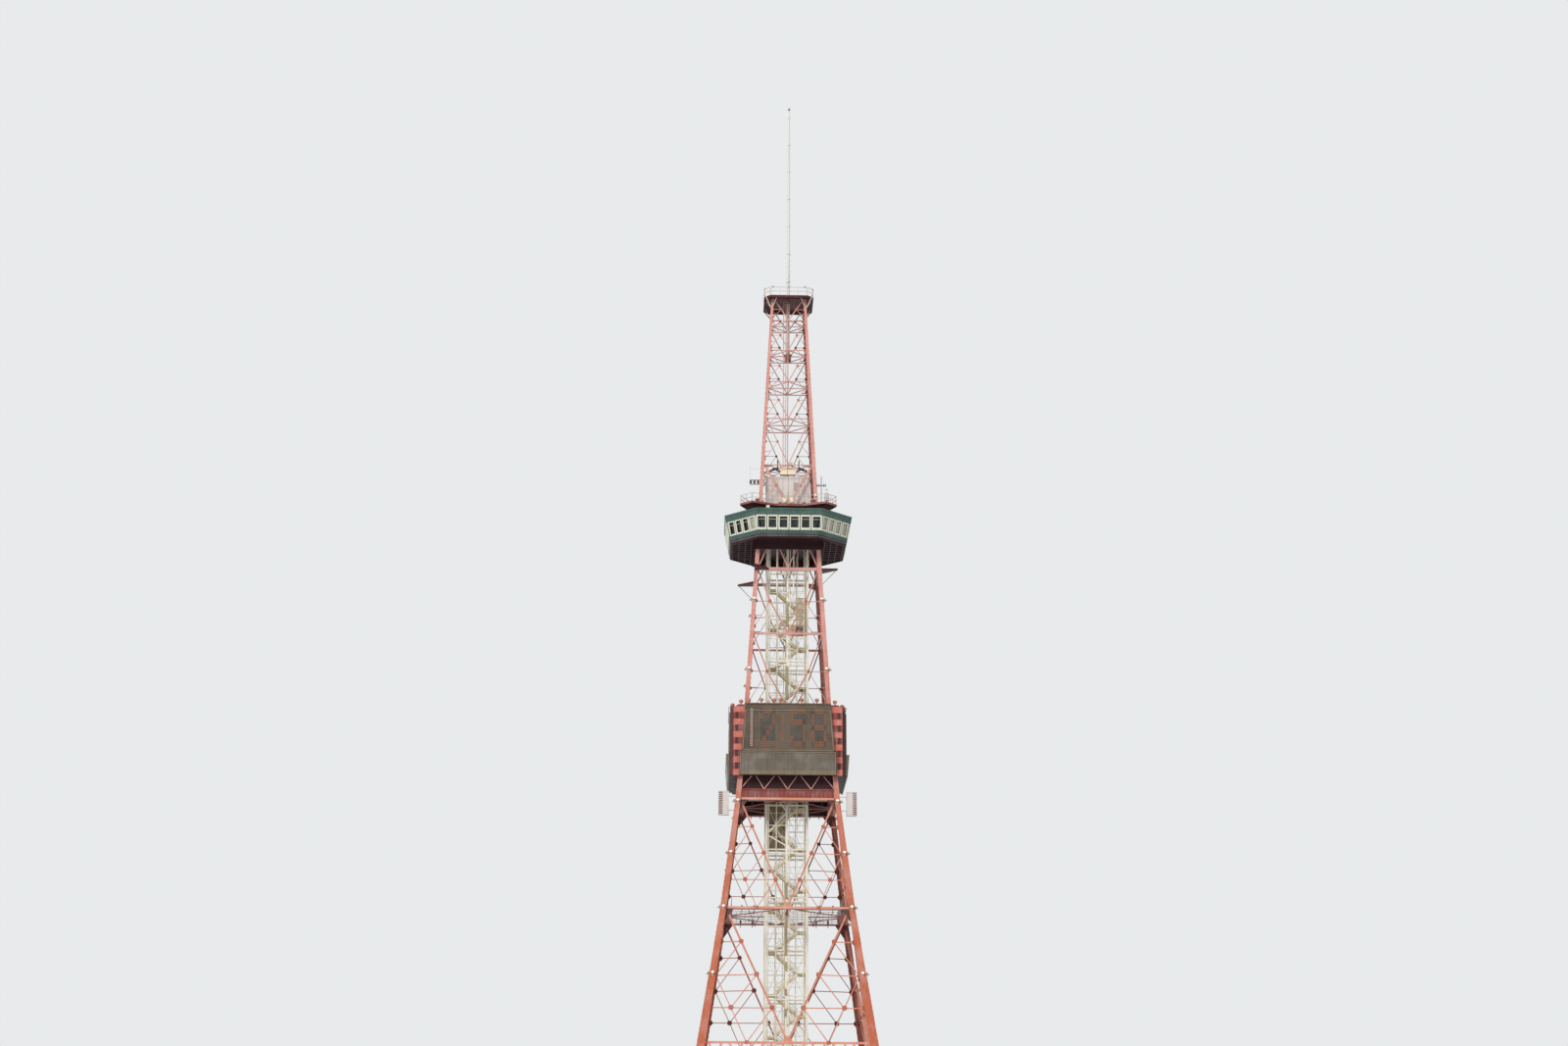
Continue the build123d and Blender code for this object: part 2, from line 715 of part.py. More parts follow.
# Gallery over the deck: its corners reach out, and its underside slopes in from the edge
gallery_outline = star(gallery_half, gallery_cut, gallery_waist, gallery_set_back)
with BuildPart() as gallery_floor:
    with BuildSketch(Plane.XY.offset(gallery_z)):
        Polygon(*gallery_outline, align=None)
    extrude(amount=-gallery_thick, taper=gallery_taper)
    around_legs(Mode.SUBTRACT)
save(gallery_floor.part, "gallery_floor")


def railing_side(length, bays):
    """A straight railing on the ground line, standing across the front."""
    with BuildPart() as made:
        with BuildSketch(Plane.XZ):
            with Locations((0, railing_height / 2)):
                Rectangle(length, railing_height)
                clear_high = (railing_height - 3 * rail_bar) / 2
                clear_wide = (length - rail_bar) / bays - rail_bar
                with GridLocations((length - rail_bar) / bays, clear_high + rail_bar, bays, 2):
                    Rectangle(clear_wide, clear_high, mode=Mode.SUBTRACT)
        extrude(amount=-rail_bar)
    return made.part


def railing(floor_z, outline):
    """Railings along the edges of a platform, each one a flat piece of its own."""
    with BuildPart() as made:
        for (x, y), (next_x, next_y) in zip(outline, outline[1:] + outline[:1]):
            across, along = next_x - x, next_y - y
            edge = math.hypot(across, along)
            piece = railing_side(edge - 2 * rail_bar, max(1, round(edge / railing_bay)))
            turn = math.degrees(math.atan2(along, across))
            add(piece.moved(Location(((x + next_x) / 2, (y + next_y) / 2, floor_z), (0, 0, turn))))
    return made.part


head_outline = octagon(platform_half, platform_half - platform_cut)
save(railing(gallery_z, gallery_outline), "gallery_railing")
save(railing(mast_levels[-1] + plate, head_outline), "top_railing")

# Machine room inside the foot of the upper mast
with BuildPart() as machine_room:
    with BuildSketch(Plane.XY.offset(gallery_z)):
        Rectangle(2 * room_half, 2 * room_half)
    extrude(amount=room_height)
save(machine_room.part, "machine_room")

# Mast head: platform, antenna pole that stands on the frame below it, and the beacon at the tip
pole_foot_z = mast_levels[pole_level] + mast_bar
with BuildPart() as top_platform:
    with BuildSketch(Plane.XY.offset(mast_levels[-1])):
        Polygon(*head_outline, align=None)
        Circle(pole_foot_radius + clear, mode=Mode.SUBTRACT)
    extrude(amount=plate)
save(top_platform.part, "top_platform")
with BuildPart() as antenna_pole:
    with BuildSketch(Plane.XY.offset(pole_foot_z)):
        Circle(pole_foot_radius)
    with BuildSketch(Plane.XY.offset(tip_z - beacon_height)):
        Circle(pole_tip_radius)
    loft()
save(antenna_pole.part, "antenna_pole")
with BuildPart() as beacon:
    with BuildSketch(Plane.XY.offset(tip_z - beacon_height)):
        Circle(beacon_radius)
    extrude(amount=beacon_height)
save(beacon.part, "beacon")

# Wing balconies: one wedge beside each leg under the deck, with a strut below it
with BuildPart() as front_wing:
    wing_leg = outer(deck_beam_z)
    with BuildSketch(Plane.XY.offset(deck_beam_z)):
        Polygon((wing_leg - rod, -wing_leg), (wing_leg + wing_reach, -wing_leg),
                (wing_leg, wing_depth - wing_leg), align=None)
    extrude(amount=wing_thick)
    with BuildSketch(Plane.XZ.offset(wing_leg)):
        Polygon((wing_leg + wing_reach - 2 * rod, deck_beam_z),
                (wing_leg + wing_reach - 3 * rod, deck_beam_z),
                (wing_leg - rod, deck_beam_z - wing_reach + rod),
                (wing_leg - rod, deck_beam_z - wing_reach), align=None)
    extrude(amount=-rail_bar)
with BuildPart() as wing_balconies:
    for angle in sides.values():
        add(front_wing.part, rotation=(0, 0, angle))
    around_legs(Mode.SUBTRACT)
save(wing_balconies.part, "wing_balconies")

# Aerials that stand outside the two front legs beside the clock girder, each on two arms
with BuildPart() as aerial_racks:
    rack_x = outer(clock_girder_z) + rack_out
    rack_y = leg_side(clock_girder_z) / 2 - outer(clock_girder_z)
    rack_z = clock_girder_z - rack_drop
    for hand in (-1, 1):
        with Locations((hand * rack_x, rack_y, rack_z)):
            Box(rack_width, rack_thick, rack_height)
        for share in (-arm_share, arm_share):
            with Locations((hand * (rack_x - rack_out / 2), rack_y, rack_z + share * rack_height)):
                Box(rack_out + rack_thick, rod, rod)
    around_legs(Mode.SUBTRACT)
save(aerial_racks.part, "aerial_racks")
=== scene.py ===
"""Dresses the 1:10 radio mast: its paint, plates, rivets, stairs, lamps, clock and fittings.

Metres, +Z up, front towards -Y, with the origin on the ground between the four legs.
"""
import math

import bpy
import numpy as np
from mathutils import Matrix, Vector


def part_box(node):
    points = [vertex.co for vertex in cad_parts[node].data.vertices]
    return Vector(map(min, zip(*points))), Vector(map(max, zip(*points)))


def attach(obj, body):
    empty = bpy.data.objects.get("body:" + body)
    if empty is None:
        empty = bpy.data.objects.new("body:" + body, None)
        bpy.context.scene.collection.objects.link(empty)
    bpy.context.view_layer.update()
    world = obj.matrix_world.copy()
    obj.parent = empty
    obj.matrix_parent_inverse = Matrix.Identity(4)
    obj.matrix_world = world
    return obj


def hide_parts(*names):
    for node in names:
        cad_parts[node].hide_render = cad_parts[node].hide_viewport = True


bl_info = {
    "name": "Radio mast dressing",
    "version": (1, 0, 0),
    "blender": (4, 5, 0),
    "location": "3D View > Sidebar > Mast",
    "description": "Paint, plates, stairs, lamps, clock displays and fittings of a lattice radio mast",
    "category": "Object",
}

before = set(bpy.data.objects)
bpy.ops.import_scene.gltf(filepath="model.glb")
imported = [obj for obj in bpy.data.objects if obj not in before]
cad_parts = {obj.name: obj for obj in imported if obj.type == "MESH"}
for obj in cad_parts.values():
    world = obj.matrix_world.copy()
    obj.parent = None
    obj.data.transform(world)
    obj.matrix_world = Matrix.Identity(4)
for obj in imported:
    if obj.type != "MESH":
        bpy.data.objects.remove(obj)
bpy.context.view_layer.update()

RIGHT, BACK, UP = np.eye(3)


# Sizes read from the frame

def points_of(node_name):
    """Vertices of a construction piece, as an array of points."""
    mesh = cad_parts[node_name].data
    found = np.empty(len(mesh.vertices) * 3, np.float32)
    mesh.vertices.foreach_get("co", found)
    return found.reshape(-1, 3).astype(float)


def low(node_name):
    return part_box(node_name)[0].z


def high(node_name):
    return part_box(node_name)[1].z


LEG_POINTS = points_of("leg_front_right")
LEG_HEIGHTS = np.unique(LEG_POINTS[:, 2].round(4))
LEG_RINGS = [LEG_POINTS[abs(LEG_POINTS[:, 2] - height) < 1e-3, 0] for height in LEG_HEIGHTS]
LEG_OUTER = np.array([ring.max() for ring in LEG_RINGS])
LEG_SIDES = np.array([ring.max() - ring.min() for ring in LEG_RINGS])

FOOT_Z = high("footings")
PORTAL_Z = 1.4
GIRDER_LOW_Z = low("girder_frame")
GIRDER_Z = high("base_side_front") + 0.16
FIRST_Z = low("lower_gallery")
CLOCK_GIRDER_Z = low("upper_gallery")
SOFFIT_Z = high("clock_soffit")
HOUSING_Z = high("clock_roof")
UPPER_Z = 7.65
DECK_BEAM_Z = 8.46
DECK_Z = low("deck_floor")
DECK_TOP_Z = high("deck_roof")
GALLERY_Z = high("gallery_floor")
MAST_LEVELS = [9.27, 9.81, 10.42, 10.91, 11.33, 11.73, low("top_platform")]
PLATFORM_Z = high("top_platform")


def outer(height):
    """Half-width of the tower to the outside of the legs."""
    return np.interp(height, LEG_HEIGHTS, LEG_OUTER)


def leg_side(height):
    return np.interp(height, LEG_HEIGHTS, LEG_SIDES)


def leg_place(height, share):
    """Distance from the middle of the tower to a leg: to its outside at share 0, its inside at 1."""
    return outer(height) - leg_side(height) * share


# Meshes from arrays

def unit(vectors):
    return vectors / np.linalg.norm(vectors, axis=-1, keepdims=True)


def points(*values):
    """Coordinates that may be arrays or single numbers, joined into an array of points."""
    spread = np.broadcast_arrays(*[np.asarray(value, float) for value in values])
    return np.stack(spread, axis=-1).reshape(-1, 3)


def rows(given):
    """An array of points, from one like it or from a tuple of three coordinates."""
    return points(*given) if isinstance(given, tuple) else np.atleast_2d(given).astype(float)


def carried(profile, starts, ends, across, second=None, growth=(1.0, 1.0)):
    """Bars: a closed profile carried along straight lines.

    The profile's point (a, b) becomes start + a * across + b * second, and the same from the
    end. The second direction is along x across unless it is given. Growth scales the
    profile at the starts and at the ends.
    """
    starts, ends = rows(starts), rows(ends)
    count, corners = len(starts), len(profile)
    across = np.broadcast_to(np.asarray(across, float), starts.shape)
    along = unit(ends - starts)
    if second is None:
        across = unit(across - along * (across * along).sum(-1, keepdims=True))
        second = np.cross(along, across)
    second = np.broadcast_to(np.asarray(second, float), starts.shape)
    shape = np.asarray(profile, float)
    offsets = shape[None, :, 0, None] * across[:, None] + shape[None, :, 1, None] * second[:, None]
    grown = [np.asarray(size, float).reshape(-1, 1, 1) for size in growth]
    rings = np.stack([starts[:, None] + offsets * grown[0], ends[:, None] + offsets * grown[1]], axis=1)
    first = (np.arange(count) * 2 * corners)[:, None]
    ring = np.arange(corners)[None]
    after = (ring + 1) % corners
    quads = np.stack([first + ring, first + after, first + after + corners, first + ring + corners], -1)
    caps = np.concatenate([first + ring[:, ::-1], first + ring + corners])
    return rings.reshape(-1, 3), [quads.reshape(-1, 4), caps]


def spun(profile, places, axes, segments=8):
    """Round pieces: a profile of (radius, height) points spun about an axis at each place.

    A point is place + radius * (cos t * side + sin t * other) + height * axis. The profile
    runs upwards, and both of its ends are closed.
    """
    places = rows(places)
    axes = unit(np.broadcast_to(np.asarray(axes, float), places.shape))
    side = unit(np.cross(np.where(abs(axes[:, 2:]) > 0.9, RIGHT, UP), axes))
    other = np.cross(axes, side)
    turn = np.linspace(0, 2 * math.pi, segments, endpoint=False)
    shape = np.asarray(profile, float)
    circle = np.cos(turn)[None, :, None] * side[:, None] + np.sin(turn)[None, :, None] * other[:, None]
    rings = (places[:, None, None] + shape[None, :, 0, None, None] * circle[:, None]
             + shape[None, :, 1, None, None] * axes[:, None, None])
    levels, count = len(shape), len(places)
    first = (np.arange(count) * levels * segments)[:, None, None]
    row = (np.arange(levels - 1) * segments)[None, :, None]
    column = np.arange(segments)[None, None]
    after = (column + 1) % segments
    quads = np.stack([first + row + column, first + row + after,
                      first + row + after + segments, first + row + column + segments], -1)
    ends = first[:, 0] + np.arange(segments)[None]
    caps = np.concatenate([ends[:, ::-1], ends + (levels - 1) * segments])
    return rings.reshape(-1, 3), [quads.reshape(-1, 4), caps]


def joined(*shapes):
    """Several shapes as one: their points in a row, and each face's numbers moved on."""
    vertices, faces, count = [], [], 0
    for corners, groups in shapes:
        vertices.append(corners)
        faces.extend(group + count for group in groups)
        count += len(corners)
    return np.concatenate(vertices), faces


def rotated(shape, degrees):
    """The shape turned about the tower's axis."""
    turn = np.array(Matrix.Rotation(math.radians(degrees), 3, "Z"))
    return shape[0] @ turn.T, shape[1]


def four_ways(*shapes):
    """The shapes and their three copies, a quarter turn apart about the tower's axis."""
    whole = joined(*shapes)
    return joined(*[rotated(whole, 90 * quarter) for quarter in range(4)])


def mirrored(*shapes):
    """The shapes and their mirror image across the middle of their side."""
    whole = joined(*shapes)
    return joined(whole, (whole[0] * (-1, 1, 1), [group[:, ::-1] for group in whole[1]]))


def oblong(width, depth):
    """Profile of a bar with a rectangular section."""
    x, y = width / 2, depth / 2
    return [(-x, -y), (x, -y), (x, y), (-x, y)]


def bars(width, depth, starts, ends, across=RIGHT, second=None):
    """Rectangular bars, with their width across and their depth along the second direction."""
    return carried(oblong(width, depth), starts, ends, across, second)


def tubes(starts, ends, radius, corners=6):
    """Thin round bars between pairs of points."""
    starts, ends = rows(starts), rows(ends)
    turn = np.arange(corners) * 2 * math.pi / corners
    across = np.where(abs(unit(ends - starts)[:, 2:]) > 0.9, RIGHT, UP)
    return carried(np.stack([radius * np.cos(turn), radius * np.sin(turn)], -1), starts, ends, across)


def rivets(places, axes, radius):
    """Domed rivet heads."""
    return spun(radius * np.array([(1.0, 0.0), (0.85, 0.45), (0.4, 0.7)]), places, axes, 6)


def slab(low_corner, high_corner):
    """A plate or box between two opposite corners, square to the tower."""
    low_corner, high_corner = np.asarray(low_corner, float), np.asarray(high_corner, float)
    width, depth, height = high_corner - low_corner
    foot = (low_corner + high_corner) / 2 - UP * height / 2
    return bars(width, depth, foot, foot + UP * height, RIGHT, BACK)


def sheets(places, facing, across, width, height, thick):
    """Thin upright plates on a wall: their middles, and the wall's directions out and along."""
    places = rows(places)
    return bars(width, height, places, places + facing * thick, across, np.cross(facing, across))


def handrail(start, end, height, radius, pitch, levels=(0.5, 1.0)):
    """Posts and rails along a straight edge, level or sloping."""
    start, end = np.asarray(start, float), np.asarray(end, float)
    count = max(1, round(float(np.linalg.norm(end - start)) / pitch))
    feet = start + (end - start) * np.linspace(0, 1, count + 1)[:, None]
    lines = [tubes(start + UP * height * level, end + UP * height * level, radius * 0.85) for level in levels]
    return joined(tubes(feet, feet + UP * height, radius), *lines)


def strips(corners, depth, drop):
    """Upright strips along an edge that follows corner points, lowered by the drop."""
    starts, ends = corners[:-1] - UP * drop, corners[1:] - UP * drop
    return bars(0.006, depth, starts, ends, unit(np.cross(UP, ends - starts)), UP)


def piece(name, shapes, slot, paint=None, once=False, smooth=False):
    """A new piece of the tower, from one shape or a list of them, with its paint and body.

    The shapes are repeated on all four sides unless the piece is there once. The paint is the
    slot's own unless another is named.
    """
    shapes = shapes if isinstance(shapes, list) else [shapes]
    corners, groups = joined(*shapes) if once else four_ways(*shapes)
    mesh = bpy.data.meshes.new(name)
    mesh.from_pydata(corners, [], [row for group in groups for row in group.tolist()])
    mesh.validate()
    mesh.materials.append(PAINTS[paint or slot])
    if smooth:
        mesh.shade_smooth()
        mesh.set_sharp_from_angle(angle=math.radians(50))
    made = bpy.data.objects.new(name, mesh)
    bpy.context.scene.collection.objects.link(made)
    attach(made, "root")
    return made


# Colours and sizes that a user may change

def shade(red, green, blue):
    """A colour given as it looks on a screen, from 0 to 255, turned into linear light."""
    values = np.array([red, green, blue]) / 255
    return tuple(np.where(values <= 0.04045, values / 12.92, ((values + 0.055) / 1.055) ** 2.4).tolist())


def colour(name, description, *value):
    return bpy.props.FloatVectorProperty(name=name, description=description, subtype="COLOR", size=3,
                                         min=0, max=1, default=shade(*value))


def length(name, description, value):
    return bpy.props.FloatProperty(name=name, description=description, unit="LENGTH", min=0, precision=4,
                                   default=value)


class MastColours(bpy.types.PropertyGroup):
    """Paints of the mast."""

    leg: colour("Leg paint", "Weathered orange red on the four legs", 190, 98, 62)
    leg_high: colour("Upper leg paint", "Paler red on the legs above the clock", 217, 148, 132)
    lattice: colour("Lattice paint", "Orange red on the lower bracing", 214, 138, 110)
    upper: colour("Upper paint", "Paler red on the bracing above the clock", 206, 146, 134)
    girder: colour("Girder paint", "Deep red on girders and galleries", 140, 62, 50)
    core: colour("Core paint", "Cream on the lift and stair core", 240, 232, 213)
    stair: colour("Stair paint", "Yellowish cream on flights and landings", 228, 213, 174)
    sheeting: colour("Sheeting", "Olive brown on the lift shaft's sheets", 156, 138, 106)
    display: colour("Display", "Grey brown of the unlit clock display", 104, 88, 70)
    sign: colour("Sign board", "Grey brown of the bare sign boards", 106, 94, 80)
    # This dark maroon is partly the undersides' own paint and partly painted shade under the clock and the
    # deck.
    soffit: colour("Soffit", "Dark maroon brown of the undersides", 66, 42, 45)
    deck: colour("Deck panels", "Dark teal green round the observation deck", 56, 88, 78)
    window: colour("Window frames", "Pale cream of the window frames", 222, 220, 200)
    sheet_metal: colour("Machine room", "Pale pinkish beige of the machine room", 224, 212, 203)
    platform: colour("Platform", "Dark maroon of the gallery and the head platform", 84, 44, 44)
    railing: colour("Railings", "Faded grey pink of the railings", 202, 186, 178)
    pole: colour("Antenna pole", "Off-white of the antenna", 222, 218, 208)
    aerial: colour("Aerial shells", "Pale grey of the aerials' covers", 212, 202, 196)
    concrete: colour("Concrete", "Pale grey of the footings", 176, 170, 160)


class MastSizes(bpy.types.PropertyGroup):
    """Sizes of the fittings, on the 1:10 model."""

    batten_pitch: length("Batten pitch", "Distance between the batten plates on a leg", 0.15)
    rivet: length("Rivet radius", "Radius of a rivet head on the legs", 0.0045)
    rivet_pitch: length("Rivet pitch", "Distance between rivets along a leg", 0.065)
    gusset: length("Gusset plate", "Half-width of a gusset plate on the lower bracing", 0.024)
    plate: length("Plate thickness", "Thickness of the gusset plates", 0.005)
    lamp: length("Lamp radius", "Radius of a floodlight on the legs", 0.018)
    handrail: length("Handrail height", "Height of a handrail over its walkway", 0.1)
    digit_height: length("Digit height", "Height of the clock's digits", 0.46)
    dot: length("Dot radius", "Radius of one lamp of the clock display", 0.0085)


# Shader groups that several materials share

class Wiring:
    """Short words for placing and joining the nodes of one tree."""

    def __init__(self, tree):
        self.tree = tree

    def node(self, kind, values=None, **settings):
        made = self.tree.nodes.new("ShaderNode" + kind)
        for key, value in settings.items():
            setattr(made, key, value)
        for key, value in (values or {}).items():
            self.feed(made.inputs[key], value)
        return made

    def feed(self, socket, value):
        if isinstance(value, bpy.types.NodeSocket):
            self.tree.links.new(value, socket)
        elif isinstance(value, tuple) and len(value) == 3 and socket.type == "RGBA":
            socket.default_value = (*value, 1)
        else:
            socket.default_value = value

    def place(self):
        """The point in the object's own coordinates."""
        return self.node("TexCoord").outputs["Object"]

    def parts(self, vector):
        return self.node("SeparateXYZ", {"Vector": vector}).outputs

    def math(self, operation, *values):
        return self.node("Math", dict(enumerate(values)), operation=operation).outputs[0]

    def step(self, value, start, end, out_low=0.0, out_high=1.0):
        """A smooth step from one value to another between start and end."""
        made = self.node("MapRange", {"Value": value, "From Min": start, "From Max": end,
                                      "To Min": out_low, "To Max": out_high}, interpolation_type="SMOOTHSTEP")
        return made.outputs["Result"]

    def noise(self, vector, scale, detail=3.0, roughness=0.55):
        made = self.node("TexNoise", {"Vector": vector, "Scale": scale, "Detail": detail,
                                      "Roughness": roughness})
        return made.outputs["Fac"]

    def mix(self, share, first, second, blend="MIX"):
        made = self.node("Mix", {0: share, 6: first, 7: second}, data_type="RGBA", blend_type=blend)
        return made.outputs[2]

    def group(self, name, values):
        """One of the shared groups, placed with its values."""
        return self.node("Group", values, node_tree=shared(name)).outputs


def new_group(name, inputs, outputs):
    """An empty shader group with its named sockets: its wiring, what comes in and what goes out."""
    group = bpy.data.node_groups.new(name, "ShaderNodeTree")
    for label, value in inputs.items():
        kind = "Color" if isinstance(value, tuple) else "Float"
        socket = group.interface.new_socket(label, in_out="INPUT", socket_type="NodeSocket" + kind)
        socket.default_value = (*value, 1) if kind == "Color" else value
    for label in outputs:
        kind = "Color" if label == "Color" else "Float"
        group.interface.new_socket(label, in_out="OUTPUT", socket_type="NodeSocket" + kind)
    start, end = group.nodes.new("NodeGroupInput").outputs, group.nodes.new("NodeGroupOutput").inputs
    return Wiring(group), start, end


def weathering_group():
    """Weathered paint: patches where it has faded, streaks that run down, dirt and rust specks."""
    wires, start, end = new_group(
        "Weathered Paint", {"Paint": (0.5, 0.5, 0.5), "Faded": (0.7, 0.7, 0.7), "Rust": (0.1, 0.04, 0.02),
                            "Fading": 0.5, "Streaks": 0.4, "Rusting": 0.3, "Patch Scale": 6.0},
        ("Color", "Roughness", "Height"))
    given = wires.place()
    patches = wires.noise(given, start["Patch Scale"], 5.0, 0.6)
    faded = wires.math("MULTIPLY", wires.step(patches, 0.42, 0.68), start["Fading"])
    drawn = wires.node("Mapping", {"Vector": given, "Scale": (46.0, 46.0, 3.2)}).outputs[0]
    runs = wires.noise(drawn, 1.0, 3.0, 0.5)
    streaks = wires.math("MULTIPLY", wires.step(runs, 0.52, 0.74), start["Streaks"])
    specks = wires.noise(given, 95.0, 2.0, 0.7)
    rusted = wires.math("MULTIPLY", wires.step(specks, 0.62, 0.72), start["Rusting"])
    painted = wires.mix(faded, start["Paint"], start["Faded"])
    dirty = wires.mix(0.55, painted, start["Rust"], "MULTIPLY")
    streaked = wires.mix(streaks, painted, dirty)
    wires.feed(end["Color"], wires.mix(rusted, streaked, start["Rust"]))
    worn = wires.math("ADD", faded, rusted)
    wires.feed(end["Roughness"], wires.step(worn, 0.0, 1.0, 0.42, 0.78))
    grain = wires.noise(given, 160.0, 2.0, 0.5)
    wires.feed(end["Height"], wires.math("SUBTRACT", grain, wires.math("MULTIPLY", rusted, 2.0)))
    return wires.tree


def joint_group():
    """Joints between sheets: straight lines at even distances, along the wall and up it.

    The place along a wall is the point's distance along the level line in the wall's own
    plane, so the joints follow walls that face any way. On level plates they run both ways.
    """
    wires, start, end = new_group("Sheet Joints", {"Wide Pitch": 0.1, "High Pitch": 0.1, "Joint": 0.003},
                                  ("Mask", "Height"))
    place = wires.parts(wires.place())
    facing = wires.parts(wires.node("NewGeometry").outputs["True Normal"])
    level = wires.step(wires.math("ABSOLUTE", facing[2]), 0.8, 0.85)
    squares = [wires.math("MULTIPLY", facing[axis], facing[axis]) for axis in (0, 1)]
    spread = wires.math("MAXIMUM", wires.math("SQRT", wires.math("ADD", *squares)), 0.001)
    turned = wires.math("SUBTRACT", wires.math("MULTIPLY", place[1], facing[0]),
                        wires.math("MULTIPLY", place[0], facing[1]))
    along_wall = wires.math("DIVIDE", turned, spread)

    def either(on_wall, on_level):
        share = wires.math("MULTIPLY", on_level, level)
        rest = wires.math("MULTIPLY", on_wall, wires.math("SUBTRACT", 1.0, level))
        return wires.math("ADD", share, rest)

    def line(distance, pitch):
        turns = wires.math("DIVIDE", distance, pitch)
        near = wires.math("ABSOLUTE", wires.math("SUBTRACT", turns, wires.math("ROUND", turns)))
        return wires.step(wires.math("MULTIPLY", near, pitch), 0.0, start["Joint"], 1.0, 0.0)

    across = line(either(along_wall, place[0]), start["Wide Pitch"])
    upward = line(either(place[2], place[1]), start["High Pitch"])
    mask = wires.math("MAXIMUM", across, upward)
    wires.feed(end["Mask"], mask)
    wires.feed(end["Height"], wires.math("SUBTRACT", 0.0, mask))
    return wires.tree


def inner_shade_group():
    """Painted shade on the sides that face the tower's axis: a mask that darkens those sides as if they lay
    in shade.
    """
    wires, start, end = new_group("Painted Inner Shade", {"Strength": 0.7}, ("Mask",))
    place = wires.node("Mapping", {"Vector": wires.place(), "Scale": (1.0, 1.0, 0.0)}).outputs[0]
    outward = wires.node("VectorMath", {0: place}, operation="NORMALIZE").outputs[0]
    facing = wires.node("NewGeometry").outputs["True Normal"]
    turned = wires.node("VectorMath", {0: outward, 1: facing}, operation="DOT_PRODUCT").outputs["Value"]
    mask = wires.math("MULTIPLY", wires.step(turned, -0.4, -0.1, 1.0, 0.0), start["Strength"])
    wires.feed(end["Mask"], mask)
    return wires.tree


MAKERS = {"weathering": weathering_group, "joints": joint_group, "inner_shade": inner_shade_group}
GROUPS = {}


def shared(name):
    """A shader group, built the first time that a material asks for it."""
    if name not in GROUPS:
        GROUPS[name] = MAKERS[name]()
    return GROUPS[name]


# Materials

def empty_material(name):
    """A material with a Principled shader, its wiring and the shader's inputs."""
    made = bpy.data.materials.new(name)
    made.use_nodes = True
    return made, Wiring(made.node_tree), made.node_tree.nodes["Principled BSDF"].inputs


def surface(wires, shader, tint, roughness, height, distance, strength=0.6):
    """Feeds a material's colour, roughness and bumps to its shader."""
    bumped = wires.node("Bump", {"Height": height, "Distance": distance, "Strength": strength})
    for socket, value in (("Base Color", tint), ("Roughness", roughness), ("Normal", bumped.outputs[0])):
        wires.feed(shader[socket], value)


def darker(value, share):
    return tuple(part * share for part in value)


def lighter(value, share):
    """A colour moved towards white by a share."""
    return tuple(part + (1 - part) * share for part in value)


def painted(name, paint, fading, streaks, rusting, patch_scale=6.0, joints=None, chalk=0.22, coat=0.0,
            bump=0.0006, higher=None, gloss=0.5, inner_shade=0.0):
    """Painted metal: the weathered paint, with sheet joints where the piece has them.

    A second paint takes over from the first between the galleries and the clock. Sides that face the tower's
    axis can be darkened with painted shade.
    """
    made, wires, shader = empty_material(name)
    coated, faded = tuple(paint), lighter(paint, chalk)
    if higher:
        share = wires.step(wires.parts(wires.place())[2], 3.4, 9.0)
        coated = wires.mix(share, coated, tuple(higher))
        faded = wires.mix(share, faded, lighter(higher, chalk))
    out = wires.group("weathering", {
        "Paint": coated, "Faded": faded, "Rust": darker(paint, 0.3),
        "Fading": fading, "Streaks": streaks, "Rusting": rusting, "Patch Scale": patch_scale})
    tint, height = out["Color"], out["Height"]
    if joints:
        lines = wires.group("joints", dict(zip(("Wide Pitch", "High Pitch", "Joint"), joints)))
        tint = wires.mix(wires.math("MULTIPLY", lines["Mask"], 0.6), tint, darker(paint, 0.25))
        height = wires.math("ADD", wires.math("MULTIPLY", height, 0.3),
                            wires.math("MULTIPLY", lines["Height"], 2.0))
    if inner_shade:
        # Painted shade: the sides that face the tower's axis are multiplied darker, as if in shade.
        inner_shade_mask = wires.group("inner_shade", {"Strength": inner_shade})["Mask"]
        tint = wires.mix(inner_shade_mask, tint, (0.36, 0.22, 0.26), "MULTIPLY")
    surface(wires, shader, tint, out["Roughness"], height, bump)
    for socket, value in (("Specular IOR Level", gloss), ("Coat Weight", coat), ("Coat Roughness", 0.2)):
        shader[socket].default_value = value
    return made


def concrete(name, tone):
    """Cast concrete: cloudy grey with pores and a darker foot."""
    made, wires, shader = empty_material(name)
    place = wires.place()
    clouds = wires.step(wires.noise(place, 9.0, 6.0, 0.6), 0.35, 0.7)
    pores = wires.step(wires.noise(place, 120.0, 3.0, 0.6), 0.60, 0.70)
    damp = wires.step(wires.parts(place)[2], 0.0, 0.035, 0.5, 0.0)
    stained = wires.math("MAXIMUM", wires.math("MULTIPLY", pores, 0.5), damp)
    tint = wires.mix(stained, wires.mix(clouds, tuple(tone), darker(tone, 0.72)), darker(tone, 0.45))
    surface(wires, shader, tint, 0.92, wires.math("SUBTRACT", clouds, pores), 0.0015, 0.7)
    return made


